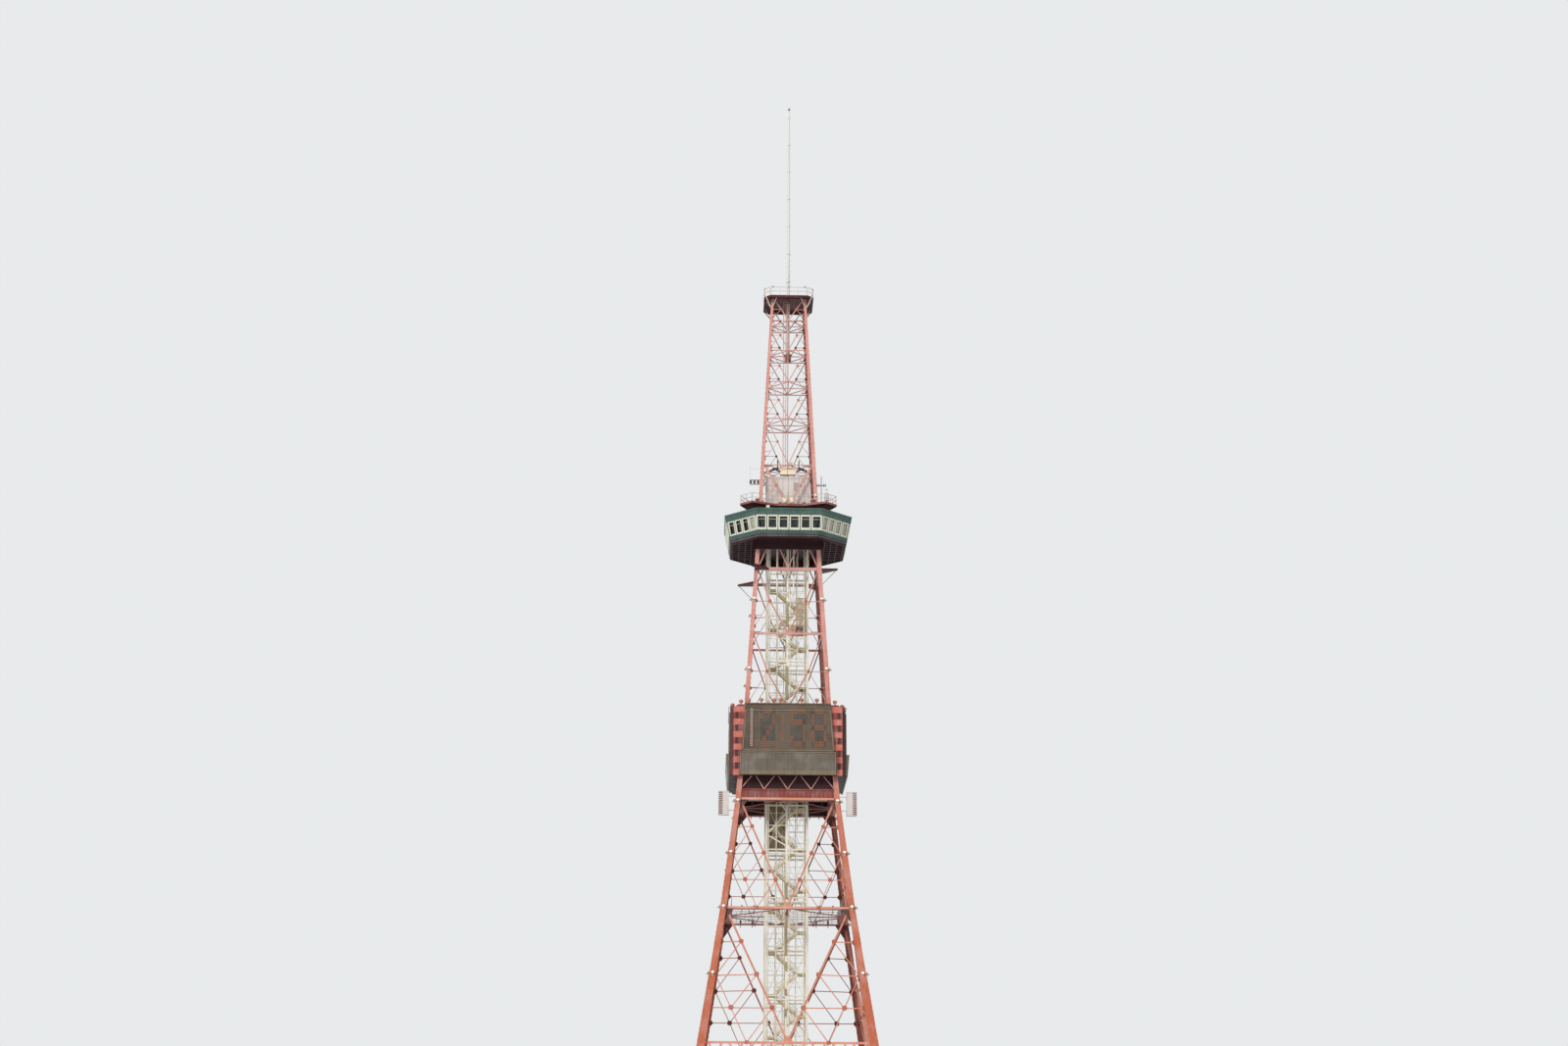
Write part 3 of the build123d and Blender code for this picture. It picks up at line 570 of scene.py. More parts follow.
def display_face(name, tone):
    """Unlit display: rows of small lamp cells in dark bezels, dusty and unevenly aged."""
    made, wires, shader = empty_material(name)
    cells = wires.group("joints", {"Wide Pitch": 0.022, "High Pitch": 0.022, "Joint": 0.004})
    modules = wires.group("joints", {"Wide Pitch": 0.176, "High Pitch": 0.176, "Joint": 0.003})
    place = wires.place()
    age = wires.step(wires.noise(place, 5.0, 5.0, 0.65), 0.35, 0.7)
    warm = wires.step(wires.noise(place, 13.0, 3.0, 0.6), 0.45, 0.7)
    tint = wires.mix(age, tuple(tone), darker(tone, 0.66))
    for mask, share, seen in ((warm, 0.35, shade(126, 88, 62)), (cells["Mask"], 0.55, shade(54, 46, 38)),
                              (modules["Mask"], 0.7, shade(38, 34, 30))):
        tint = wires.mix(wires.math("MULTIPLY", mask, share), tint, seen)
    height = wires.math("ADD", cells["Height"], modules["Height"])
    surface(wires, shader, tint, wires.step(age, 0.0, 1.0, 0.45, 0.7), height, 0.0015)
    return made


def window_glass(name):
    """Dark window glass with faint dust."""
    made, wires, shader = empty_material(name)
    dust = wires.step(wires.noise(wires.place(), 14.0, 4.0, 0.6), 0.4, 0.75)
    wires.feed(shader["Base Color"], wires.mix(dust, shade(26, 32, 30), shade(58, 62, 56)))
    wires.feed(shader["Roughness"], wires.step(dust, 0.0, 1.0, 0.06, 0.22))
    shader["IOR"].default_value = 1.52
    return made


def lamp_glass(name, tone, glow):
    """A lamp's lens: ribbed glass with a faint glow."""
    made, wires, shader = empty_material(name)
    ribs = wires.noise(wires.place(), 300.0, 1.0, 0.5)
    tint = wires.mix(wires.step(ribs, 0.35, 0.65), tone, darker(tone, 0.8))
    surface(wires, shader, tint, 0.18, ribs, 0.0008, 0.5)
    shader["Coat Weight"].default_value = 0.6
    wires.feed(shader["Emission Color"], wires.mix(ribs, tone, darker(tone, 0.7)))
    shader["Emission Strength"].default_value = glow
    return made


PAINTS = {}


def make_paints(colours):
    """Every finish of the mast, by its slot's name or by the fitting's name."""
    # Each paint has a colour, its shares of fading, streaks and rust, and what sets it apart
    coats = {
        # The legs and the bracing get painted shade on their sides that face the tower's axis.
        "leg_paint": (colours.leg, 0.55, 0.45, 0.35, {"patch_scale": 4.0, "chalk": 0.2, "bump": 0.0008,
                                                      "higher": colours.leg_high, "inner_shade": 0.9}),
        "lower_lattice_paint": (colours.lattice, 0.55, 0.45, 0.35, {"inner_shade": 0.6}),
        "upper_lattice_paint": (colours.upper, 0.55, 0.45, 0.35, {"patch_scale": 8.0, "inner_shade": 0.6}),
        "gallery_paint": (colours.girder, 0.4, 0.6, 0.5, {}),
        "core_paint": (colours.core, 0.3, 0.55, 0.12, {}),
        "stair_paint": (colours.stair, 0.3, 0.55, 0.15, {}),
        "shaft_sheet": (colours.sheeting, 0.35, 0.7, 0.3, {"joints": (0.03, 0.28, 0.003)}),
        "sign_board": (colours.sign, 0.3, 0.7, 0.2, {"joints": (0.187, 0.32, 0.0025)}),
        # soffit_plate: its dark underside colour is partly painted shade.
        "soffit_plate": (colours.soffit, 0.3, 0.0, 0.4, {"chalk": 0.02, "joints": (0.133, 0.133, 0.004),
                                                         "gloss": 0.1}),
        "deck_paint": (colours.deck, 0.35, 0.5, 0.1, {"chalk": 0.12, "joints": (0.133, 10.0, 0.002),
                                                      "coat": 0.15}),
        "corner_post": (colours.deck, 0.35, 0.5, 0.1, {"chalk": 0.12}),
        "platform_plate": (colours.platform, 0.35, 0.3, 0.4, {"chalk": 0.03, "joints": (0.12, 0.12, 0.003),
                                                              "gloss": 0.15}),
        "railing_paint": (colours.railing, 0.5, 0.4, 0.2, {"patch_scale": 12.0}),
        "machine_room_sheet": (colours.sheet_metal, 0.2, 0.2, 0.1, {"joints": (0.0655, 0.205, 0.002)}),
        "pole_paint": (colours.pole, 0.3, 0.4, 0.1, {}),
        "aerial_shell": (colours.aerial, 0.3, 0.6, 0.1, {}),
        "gusset": (darker(colours.leg, 0.86), 0.3, 0.5, 0.6, {"patch_scale": 10.0}),
        "window_frame": (colours.window, 0.15, 0.35, 0.06, {}),
        # dark_fitting: dark maroon fittings; in the gap over the sign, the corner pockets and on the case
        # ends it is painted shade.
        "dark_fitting": (shade(84, 44, 42), 0.3, 0.3, 0.4, {"chalk": 0.05}),
        # inner_fitting: on the back plates this darker red is painted shade.
        "inner_fitting": (shade(98, 52, 48), 0.2, 0.2, 0.3, {"chalk": 0.05, "gloss": 0.2}),
        "rail_grey": (shade(130, 106, 92), 0.4, 0.3, 0.2, {}),
        "lamp_body": (shade(246, 220, 190), 0.2, 0.3, 0.1, {}),
        "stair_tread": (shade(172, 158, 124), 0.3, 0.5, 0.3, {}),
        "olive_trim": (shade(124, 108, 84), 0.3, 0.6, 0.3, {}),
        "olive_duct": (shade(166, 148, 110), 0.4, 0.5, 0.2, {}),
        "post_cover": (shade(202, 108, 90), 0.5, 0.4, 0.4, {"patch_scale": 14.0}),
        "rusty_screen": (shade(188, 124, 88), 0.4, 0.5, 0.5, {}),
        # corner_panel: a dimmer copy of the window frames' cream, painted shade on the corner walls.
        "corner_panel": (shade(178, 178, 160), 0.2, 0.4, 0.05, {}),
        "brown_slat": (shade(120, 74, 56), 0.3, 0.4, 0.3, {}),
        "sill_strip": (shade(92, 78, 78), 0.3, 0.6, 0.3, {}),
        "blind": (shade(196, 192, 176), 0.3, 0.2, 0.0, {"joints": (10.0, 0.014, 0.003)}),
    }
    for name, (paint, fading, streaks, rusting, others) in coats.items():
        PAINTS[name] = painted(name, paint, fading, streaks, rusting, **others)
    for name, tone in (("display", colours.display), ("unlit_cells", shade(80, 74, 66))):
        PAINTS[name] = display_face(name, tone)
    for name, tone, glow in (("beacon_lens", shade(150, 30, 24), 0.05),
                             ("lamp_lens", shade(255, 248, 226), 0.25),
                             ("dim_dot", shade(154, 92, 50), 0.08),
                             ("pale_dot", shade(186, 180, 166), 0.04)):
        PAINTS[name] = lamp_glass(name, tone, glow)
    PAINTS["glass"] = window_glass("glass")
    PAINTS["concrete"] = concrete("concrete", colours.concrete)


# The lattice's own points, as the construction has them

# Bracing bars: their width in the side's plane and their depth through it
HEAVY, MAIN, LIGHT, THIN = (0.020, 0.024), (0.017, 0.020), (0.0136, 0.020), (0.010, 0.011)
CHORD = 0.026
BENT_KNEE = 0.6        # how far out the bent panels' knees stand, as a share of the half-width


class Lattice:
    """One panel of the front lattice: its heights, its bars and where its bars meet."""

    def __init__(self, kind, low_z, high_z, bar, beam):
        self.kind, self.low, self.high, self.beam = kind, low_z, high_z, beam
        self.bar, self.depth = bar
        self.paint = "lower_lattice_paint" if low_z < HOUSING_Z else "upper_lattice_paint"
        self.low_in, self.high_in = float(leg_place(low_z, 1)), float(leg_place(high_z, 1))
        self.low_out, self.high_out = float(outer(low_z)), float(outer(high_z))
        self.length = math.hypot(high_z - low_z, self.low_out - self.high_out)
        self.inset = (float(leg_side(low_z)) - self.depth) / 2
        self.slope = unit(np.array([0.0, self.low_out - self.high_out, high_z - low_z]))
        self.facing = np.cross(RIGHT, self.slope)
        self.knee = (self.high_in * (BENT_KNEE if kind == "bent" else 0.5), self.bar_at(0.5)[1])

    def leg_at(self, share):
        return self.low_in + share * (self.high_in - self.low_in), share * self.length

    def bar_at(self, share):
        return share * self.high_in, self.beam + share * (self.length - self.beam)

    def on_face(self, across, up, out=0.0):
        """Points of the panel's front face, from places across it and up its slope."""
        height = self.low + np.asarray(up) / self.length * (self.high - self.low)
        place = np.interp(height, [self.low, self.high], [self.low_out, self.high_out])
        return points(across, self.inset - place - out, height)

    def plate(self, outline, spot, out, thick):
        """A plate on the face, from its outline about a spot."""
        foot = self.on_face(*spot, out)
        return carried(outline, foot, foot + self.facing * thick, RIGHT, self.slope)

    def joints(self):
        """Where bars meet each other, with a plate's share of the full size, and where they meet the leg."""
        if self.kind == "quarter":
            across, up = (self.leg_at(0.25)[0] * 2 + self.bar_at(0.25)[0]) / 3, self.bar_at(0.25)[1]
            spots = [(self.bar_at(0.25), 1.0), (self.bar_at(0.5), 1.0), (self.bar_at(0.75), 0.9),
                     ((across, up), 1.0), ((across * 0.72, self.beam / 2), 0.8)]
            return spots, [(self.leg_at(0.25)[0], up), self.leg_at(0.5), self.leg_at(0.75)]
        return [(self.knee, 1.0)], [(self.leg_at(0.5)[0], self.knee[1]), self.leg_at(0.12)]


def lattice_panels():
    """All panels of one side, from the ground to the mast head."""
    return [
        Lattice("half", PORTAL_Z, GIRDER_LOW_Z, HEAVY, 2 * CHORD),
        Lattice("quarter", GIRDER_Z, FIRST_Z, HEAVY, CHORD),
        Lattice("quarter", FIRST_Z, CLOCK_GIRDER_Z, MAIN, CHORD),
        Lattice("bent", HOUSING_Z, UPPER_Z, LIGHT, CHORD),
        Lattice("bent", UPPER_Z, DECK_BEAM_Z, LIGHT, CHORD),
        *[Lattice("half", lower, upper, THIN, THIN[0]) for lower, upper in zip(MAST_LEVELS, MAST_LEVELS[1:])],
    ]


# Operators

class Step:
    """What all operators share: each one builds its pieces in the scene."""

    def execute(self, context):
        self.build(context.scene)
        return {"FINISHED"}


class MAST_OT_paint(Step, bpy.types.Operator):
    """Give every construction piece the finish of its slot"""

    bl_idname = "mast.paint"
    bl_label = "Paint the frame"

    # The starts of the names that each finish is for
    FINISHES = {
        "leg_paint": ("leg_",),
        "lower_lattice_paint": ("base_side_", "lower_side_"),
        "upper_lattice_paint": ("middle_side_", "mast_side_", "mast_frames"),
        "gallery_paint": ("girder_frame", "lower_gallery", "upper_gallery", "clock_brackets",
                          "clock_corner_posts"),
        "core_paint": ("core_frame",), "stair_paint": ("stair_flights",), "shaft_sheet": ("shaft_sheeting",),
        "display": ("clock_case_",), "sign_board": ("sign_boards",),
        "soffit_plate": ("clock_soffit", "clock_roof", "deck_floor"),
        "deck_paint": ("deck_roof", "deck_walls"), "corner_post": ("deck_corner_posts",),
        "glass": ("deck_glass",),
        "platform_plate": ("wing_balconies", "gallery_floor", "top_platform"),
        "railing_paint": ("gallery_railing", "top_railing"), "machine_room_sheet": ("machine_room",),
        "pole_paint": ("antenna_pole",), "beacon_lens": ("beacon",), "aerial_shell": ("aerial_racks",),
        "concrete": ("footings",),
    }

    def build(self, scene):
        make_paints(scene.mast_colours)
        for name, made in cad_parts.items():
            finish = next(paint for paint, starts in self.FINISHES.items() if name.startswith(starts))
            made.data.materials.clear()
            made.data.materials.append(PAINTS[finish])


class MAST_OT_stage(Step, bpy.types.Operator):
    """Set the pale floor, the soft light and the camera at the photograph's angle"""

    bl_idname = "mast.stage"
    bl_label = "Stage, light and camera"

    FLOOR_RADIUS, FLOOR_CORNERS = 400.0, 96
    # Suns: name, strength, spread in degrees and the way that the light goes
    SUNS = (("key", 1.95, 20.0, (0.62, 0.9, -0.62)), ("fill", 0.3, 60.0, (-0.9, 0.5, -0.3)),
            ("rim", 0.4, 60.0, (0.2, -0.9, -0.5)))
    # The camera's place, its heading, pitch and roll in degrees, and its lens
    CAMERA_PLACE, CAMERA_TURNS = (-0.87, -30.99, 0.16), (1.532, 16.2, 0.25)
    SENSOR, LENS, FAR = 36.0, 60.3, 1000.0

    def build(self, scene):
        scene.view_settings.view_transform = "Standard"
        self.floor()
        self.world(scene)
        self.lights(scene)
        self.camera(scene)

    def floor(self):
        """A round floor, from one ring of points round its middle."""
        turn = np.arange(self.FLOOR_CORNERS) * 2 * math.pi / self.FLOOR_CORNERS
        ring = points(self.FLOOR_RADIUS * np.cos(turn), self.FLOOR_RADIUS * np.sin(turn), 0.0)
        mesh = bpy.data.meshes.new("floor")
        mesh.from_pydata(ring, [], [list(range(self.FLOOR_CORNERS))])
        made, wires, shader = empty_material("floor")
        tint = wires.mix(wires.noise(wires.place(), 2.0, 2.0), shade(226, 226, 224), shade(232, 232, 230))
        wires.feed(shader["Base Color"], tint)
        shader["Roughness"].default_value = 0.9
        mesh.materials.append(made)
        floor = bpy.data.objects.new("floor", mesh)
        bpy.context.scene.collection.objects.link(floor)

    def world(self, scene):
        """A pale sky that the camera, gloss and glass see, and a softer one that lights the mast."""
        scene.world = bpy.data.worlds.new("pale sky")
        scene.world.use_nodes = True
        wires = Wiring(scene.world.node_tree)
        background = scene.world.node_tree.nodes["Background"].inputs
        rays = wires.node("LightPath").outputs
        seen = wires.math("MAXIMUM", rays["Is Camera Ray"],
                          wires.math("MAXIMUM", rays["Is Glossy Ray"], rays["Is Transmission Ray"]))
        wires.feed(background["Color"], wires.mix(seen, shade(238, 242, 248), shade(232, 234, 235)))
        wires.feed(background["Strength"], wires.math("ADD", wires.math("MULTIPLY", seen, 0.5), 0.5))

    def lights(self, scene):
        """One wide soft sun from the front left, and two weak ones that fill from the right and behind."""
        for name, strength, spread, direction in self.SUNS:
            light = bpy.data.lights.new(name, "SUN")
            light.energy = strength
            light.angle = math.radians(spread)
            made = bpy.data.objects.new(name, light)
            made.rotation_euler = Vector(direction).to_track_quat("-Z", "Y").to_euler()
            scene.collection.objects.link(made)

    def camera(self, scene):
        """The photograph's camera: low, well in front and a little to the left, looking up."""
        heading, pitch, roll = [math.radians(turn) for turn in self.CAMERA_TURNS]
        forward = Vector((math.sin(heading) * math.cos(pitch), math.cos(heading) * math.cos(pitch),
                          math.sin(pitch)))
        side = forward.cross(Vector((0, 0, 1))).normalized()
        top = side.cross(forward) * math.cos(roll) - side * math.sin(roll)
        data = bpy.data.cameras.new("camera")
        data.sensor_width, data.lens, data.clip_end = self.SENSOR, self.LENS, self.FAR
        made = bpy.data.objects.new("camera", data)
        made.matrix_world = Matrix((forward.cross(top), top, -forward)).transposed().to_4x4()
        made.location = self.CAMERA_PLACE
        scene.collection.objects.link(made)
        scene.camera = made


class MAST_OT_legs(Step, bpy.types.Operator):
    """Rolled angles along each leg's edges, batten plates between them and rivets"""

    bl_idname = "mast.legs"
    bl_label = "Leg angles, battens and rivets"

    # Shares of the leg's side: an angle's width, how far it and a batten stand out, and a batten's
    # half-height
    EDGE, RAISED, BATTEN_RAISED, BATTEN_HALF = 0.26, 0.035, 0.021, 0.22

    def centre(self, heights):
        """Middle of the front right leg at the given heights."""
        middle = leg_place(heights, 0.5)
        return points(middle, -middle, heights)

    def along(self, profile, lows, highs):
        """A profile in shares of the leg's side, carried up the leg from some heights to others."""
        return carried(profile, self.centre(lows), self.centre(highs), RIGHT, BACK,
                       (leg_side(lows), leg_side(highs)))

    def build(self, scene):
        sizes = scene.mast_sizes
        corner, top = 0.5 + self.RAISED, 0.5 + self.BATTEN_RAISED
        edge = corner - self.EDGE
        angle = np.array([(corner, corner), (edge, corner), (edge, 0.5),
                          (0.5, 0.5), (0.5, edge), (corner, edge)])
        plate = np.array([(-edge, 0.5), (edge, 0.5), (edge, top), (-edge, top)])
        heights = np.arange(FOOT_Z + 0.06, LEG_HEIGHTS[-1] - 0.05, sizes.batten_pitch)
        deep = leg_side(heights) * self.BATTEN_HALF
        stud_heights = np.arange(FOOT_Z + 0.03, LEG_HEIGHTS[-1], sizes.rivet_pitch)
        angles, battens, studs = [], [], []
        for quarter in range(4):
            turn = np.array(Matrix.Rotation(math.radians(90 * quarter), 2))
            angles.append(self.along(angle @ turn.T, LEG_HEIGHTS[:-1], LEG_HEIGHTS[1:]))
            battens.append(self.along(plate @ turn.T, heights - deep, heights + deep))
            out = turn @ (0.0, 1.0)
            for hand in (-1, 1):
                a, b = turn @ (hand * (corner - self.EDGE / 2), corner)
                places = self.centre(stud_heights) + leg_side(stud_heights)[:, None] * (a * RIGHT + b * BACK)
                studs.append(rivets(places, out[0] * RIGHT + out[1] * BACK, sizes.rivet))
        piece("leg_angles", angles, "leg_paint")
        piece("leg_battens", battens, "leg_paint")
        piece("leg_rivets", studs, "leg_paint")


class MAST_OT_lacing(Step, bpy.types.Operator):
    """Rolled edges on both faces of the main bracing bars"""

    bl_idname = "mast.lacing"
    bl_label = "Bracing edges"

    LIP = 0.24             # width of an edge, as a share of the bar's
    RAISED, THICK = 0.002, 0.004

    def build(self, scene):
        shapes = {"lower_lattice_paint": [], "upper_lattice_paint": []}
        for panel in lattice_panels():
            if panel.bar >= LIGHT[0]:
                for start, end in (((0, panel.beam), panel.knee), (panel.knee, panel.bar_at(1))):
                    shapes[panel.paint] += self.edges(panel, np.array(start), np.array(end))
        for slot, made in shapes.items():
            piece("bracing_edges_" + slot.split("_")[0], mirrored(*made), slot)

    def edges(self, panel, start, end):
        """Edges along one stretch, clear of the plates at its ends."""
        along = (end - start) / np.linalg.norm(end - start)
        start, end = start + along * panel.bar, end - along * panel.bar * 1.6
        side = np.array([-along[1], along[0]])
        across = side[0] * RIGHT + side[1] * panel.slope
        lip = panel.bar * self.LIP
        shapes = []
        for hand in (-1, 1):
            shift = side * hand * (panel.bar - lip) / 2
            ends = panel.on_face(*np.stack([start + shift, end + shift], -1))
            for out in (self.RAISED, -panel.depth - self.RAISED):
                lifted = ends + panel.facing * out
                shapes.append(bars(lip, self.THICK, lifted[0], lifted[1], across))
        return shapes


class MAST_OT_gussets(Step, bpy.types.Operator):
    """Gusset plates with rivets wherever the bracing bars meet each other or a leg"""

    bl_idname = "mast.gussets"
    bl_label = "Gusset plates"

    INNER = 0.8            # size of the plates on the bars' inner side, as a share of the outer ones
    # Outlines for a full size of 1: eight-cornered between bars, and half a plate at a leg
    FULL = np.array([(-1, -0.55), (-0.5, -1), (0.5, -1), (1, -0.55),
                     (1, 0.55), (0.5, 1), (-0.5, 1), (-1, 0.55)])
    HALF = np.array([(-0.5, -1.1), (-1.1, -0.35), (-1.1, 0.35), (-0.5, 1.1), (0.15, 1.3), (0.15, -1.3)])
    # Where a rivet stands between the outline's middle and its corners
    CORNER_SHARE, MIDDLE_SHARE = 0.66, 0.34

    def build(self, scene):
        sizes = scene.mast_sizes
        thick = sizes.plate
        plates, backs, studs = [], [], []
        for panel in lattice_panels():
            reach = sizes.gusset * panel.bar / MAIN[0]
            between, at_leg = panel.joints()
            shapes = [(self.FULL * size, spot) for spot, size in between]
            shapes += [(self.HALF, spot) for spot in at_leg]
            for outline, spot in shapes:
                plates.append(panel.plate(outline * reach, spot, 0.0, thick))
                backs.append(panel.plate(outline * reach * self.INNER, spot, -panel.depth - thick, thick))
                marks = outline[::2] * self.CORNER_SHARE + outline.mean(0) * self.MIDDLE_SHARE
                places = panel.on_face(*(spot + reach * marks).T, thick)
                studs.append(rivets(places, panel.facing, sizes.rivet * 0.8))
        piece("gusset_plates", mirrored(*plates), "leg_paint", "gusset")
        # The back plates get a darker paint: painted shade on the bars' inner side.
        piece("gusset_back_plates", mirrored(*backs), "gallery_paint", "inner_fitting")
        piece("gusset_rivets", mirrored(*studs), "leg_paint")


class MAST_OT_lamps(Step, bpy.types.Operator):
    """Floodlights on the legs, each a can on a bracket with a pale lens"""

    bl_idname = "mast.lamps"
    bl_label = "Floodlights"

    LEVELS = np.array([3.58, 4.35, 4.99, 5.61, 7.22, 8.09])
    FACING = unit(np.array([0.0, -0.8, 0.6]))
    # In lamp radii: the can's and the lens's profiles, how far out they stand, the arm and its foot
    CAN = np.array([(0.5, -1.1), (0.95, -0.7), (1.0, 0.3), (1.15, 0.35), (1.15, 0.55)])
    LENS = np.array([(0.98, 0.5), (0.9, 0.72), (0.5, 0.95), (0.12, 1.02)])
    OUT, ARM, FOOT = 1.1, 0.22, (1.4, 1.8)

    def build(self, scene):
        radius = scene.mast_sizes.lamp
        middle, front = leg_place(self.LEVELS, 0.5), -outer(self.LEVELS)
        places = points(middle, front - radius * self.OUT, self.LEVELS)
        root = points(middle, front, self.LEVELS - radius)
        cans = mirrored(spun(radius * self.CAN, places, self.FACING, 14),
                        tubes(root, places - self.FACING * radius, radius * self.ARM),
                        bars(radius * self.FOOT[0], radius * self.FOOT[1], root - BACK * 0.008, root))
        lenses = mirrored(spun(radius * self.LENS, places, self.FACING, 14))
        piece("floodlight_cans", cans, "railing_paint", smooth=True)
        piece("floodlight_lenses", lenses, "glass", "lamp_lens", smooth=True)


class MAST_OT_stairs(Step, bpy.types.Operator):
    """Open stairs in the core: stringers, treads, landings and handrails"""

    bl_idname = "mast.stairs"
    bl_label = "Stairs"

    RISE = 0.243           # height of one flight
    WIDTH = 0.092
    LANDING = 0.14         # where the landings start, from the middle
    TREADS = 9
    RAILS, POSTS = (0.045, 0.085), (0.04, 0.35, 0.65, 0.96)
    RAIL_RADIUS, POST_RADIUS = 0.0024, 0.0022
    EDGE = 0.004           # from a landing's edge in to its beams and guards
    # A stringer's width and depth, how far it is in from its flight's side, and how far the flight
    # lies over its levels and the treads over the flight
    STRINGER, STRINGER_IN, LIFT, TREAD_LIFT = (0.006, 0.030), 0.003, 0.007, 0.004
    # Heights over a landing's level: the foot of its beams, and the foot and head of its plate
    BEAM_LOW, PLATE_LOW, PLATE_HIGH = -0.008, 0.006, 0.012

    def build(self, scene):
        """Flights that climb to the right along the front and to the left along the back."""
        front, (outside, back, top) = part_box("stair_flights")[0].y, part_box("stair_flights")[1]
        bottoms = np.arange(round(top / (2 * self.RISE))) * 2 * self.RISE
        self.steel, self.steps, self.guards = [], [], []
        for index, lane in enumerate((front + self.WIDTH / 2, back - self.WIDTH / 2)):
            climb = 1 - 2 * index
            levels = bottoms + (index + 1) * self.RISE
            self.flights(points(-climb * self.LANDING, lane, levels - self.RISE + self.LIFT),
                         points(climb * self.LANDING, lane, levels + self.LIFT))
            for level in levels.tolist():
                self.landing(climb * self.LANDING, climb * outside, front, back, level)
        # The lowest stringers are cut off level with the ground
        steel_points, steel_faces = joined(*self.steel)
        steel_points[:, 2] = np.maximum(steel_points[:, 2], 0.0)
        stairs = piece("stair_steel", (steel_points, steel_faces), "stair_paint", once=True)
        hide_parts("stair_flights")
        piece("stair_treads", self.steps, "stair_paint", "stair_tread", once=True)
        piece("stair_guards", self.guards, "stair_paint", "core_paint", once=True)

    def flights(self, starts, ends):
        """Stringers, treads, rails and posts of all flights along one lane."""
        for side in (-1, 1):
            shift = BACK * side * (self.WIDTH / 2 - self.STRINGER_IN)
            self.steel.append(bars(*self.STRINGER, starts + shift, ends + shift, BACK))
            for level in self.RAILS:
                lift = shift + UP * level
                self.guards.append(tubes(starts + lift, ends + lift, self.RAIL_RADIUS))
            for share in self.POSTS:
                feet = starts + (ends - starts) * share + shift
                self.guards.append(tubes(feet, feet + UP * self.RAILS[-1], self.POST_RADIUS))
        half = BACK * (self.WIDTH / 2 - 2 * self.STRINGER_IN)
        for step in range(self.TREADS):
            middle = starts + (ends - starts) * (step + 0.5) / self.TREADS + UP * self.TREAD_LIFT
            self.steps.append(bars(0.03, 0.003, middle - half, middle + half, RIGHT, UP))

    def landing(self, inner, outside, front, back, level):
        """A plate on three beams, with a guard along its outer edge."""
        near, far = sorted((inner, outside))
        self.steps.append(slab((near, front, level + self.PLATE_LOW), (far, back, level + self.PLATE_HIGH)))
        for y in (front + self.EDGE, (front + back) / 2, back - self.EDGE):
            self.steel.append(slab((near, y - self.EDGE, level + self.BEAM_LOW),
                                   (far, y + self.EDGE, level + self.PLATE_LOW)))
        edge, foot = outside - math.copysign(self.EDGE, outside), level + self.PLATE_HIGH
        self.guards.append(handrail((edge, front + self.EDGE, foot), (edge, back - self.EDGE, foot),
                                    self.RAILS[-1], self.RAIL_RADIUS, 0.06))


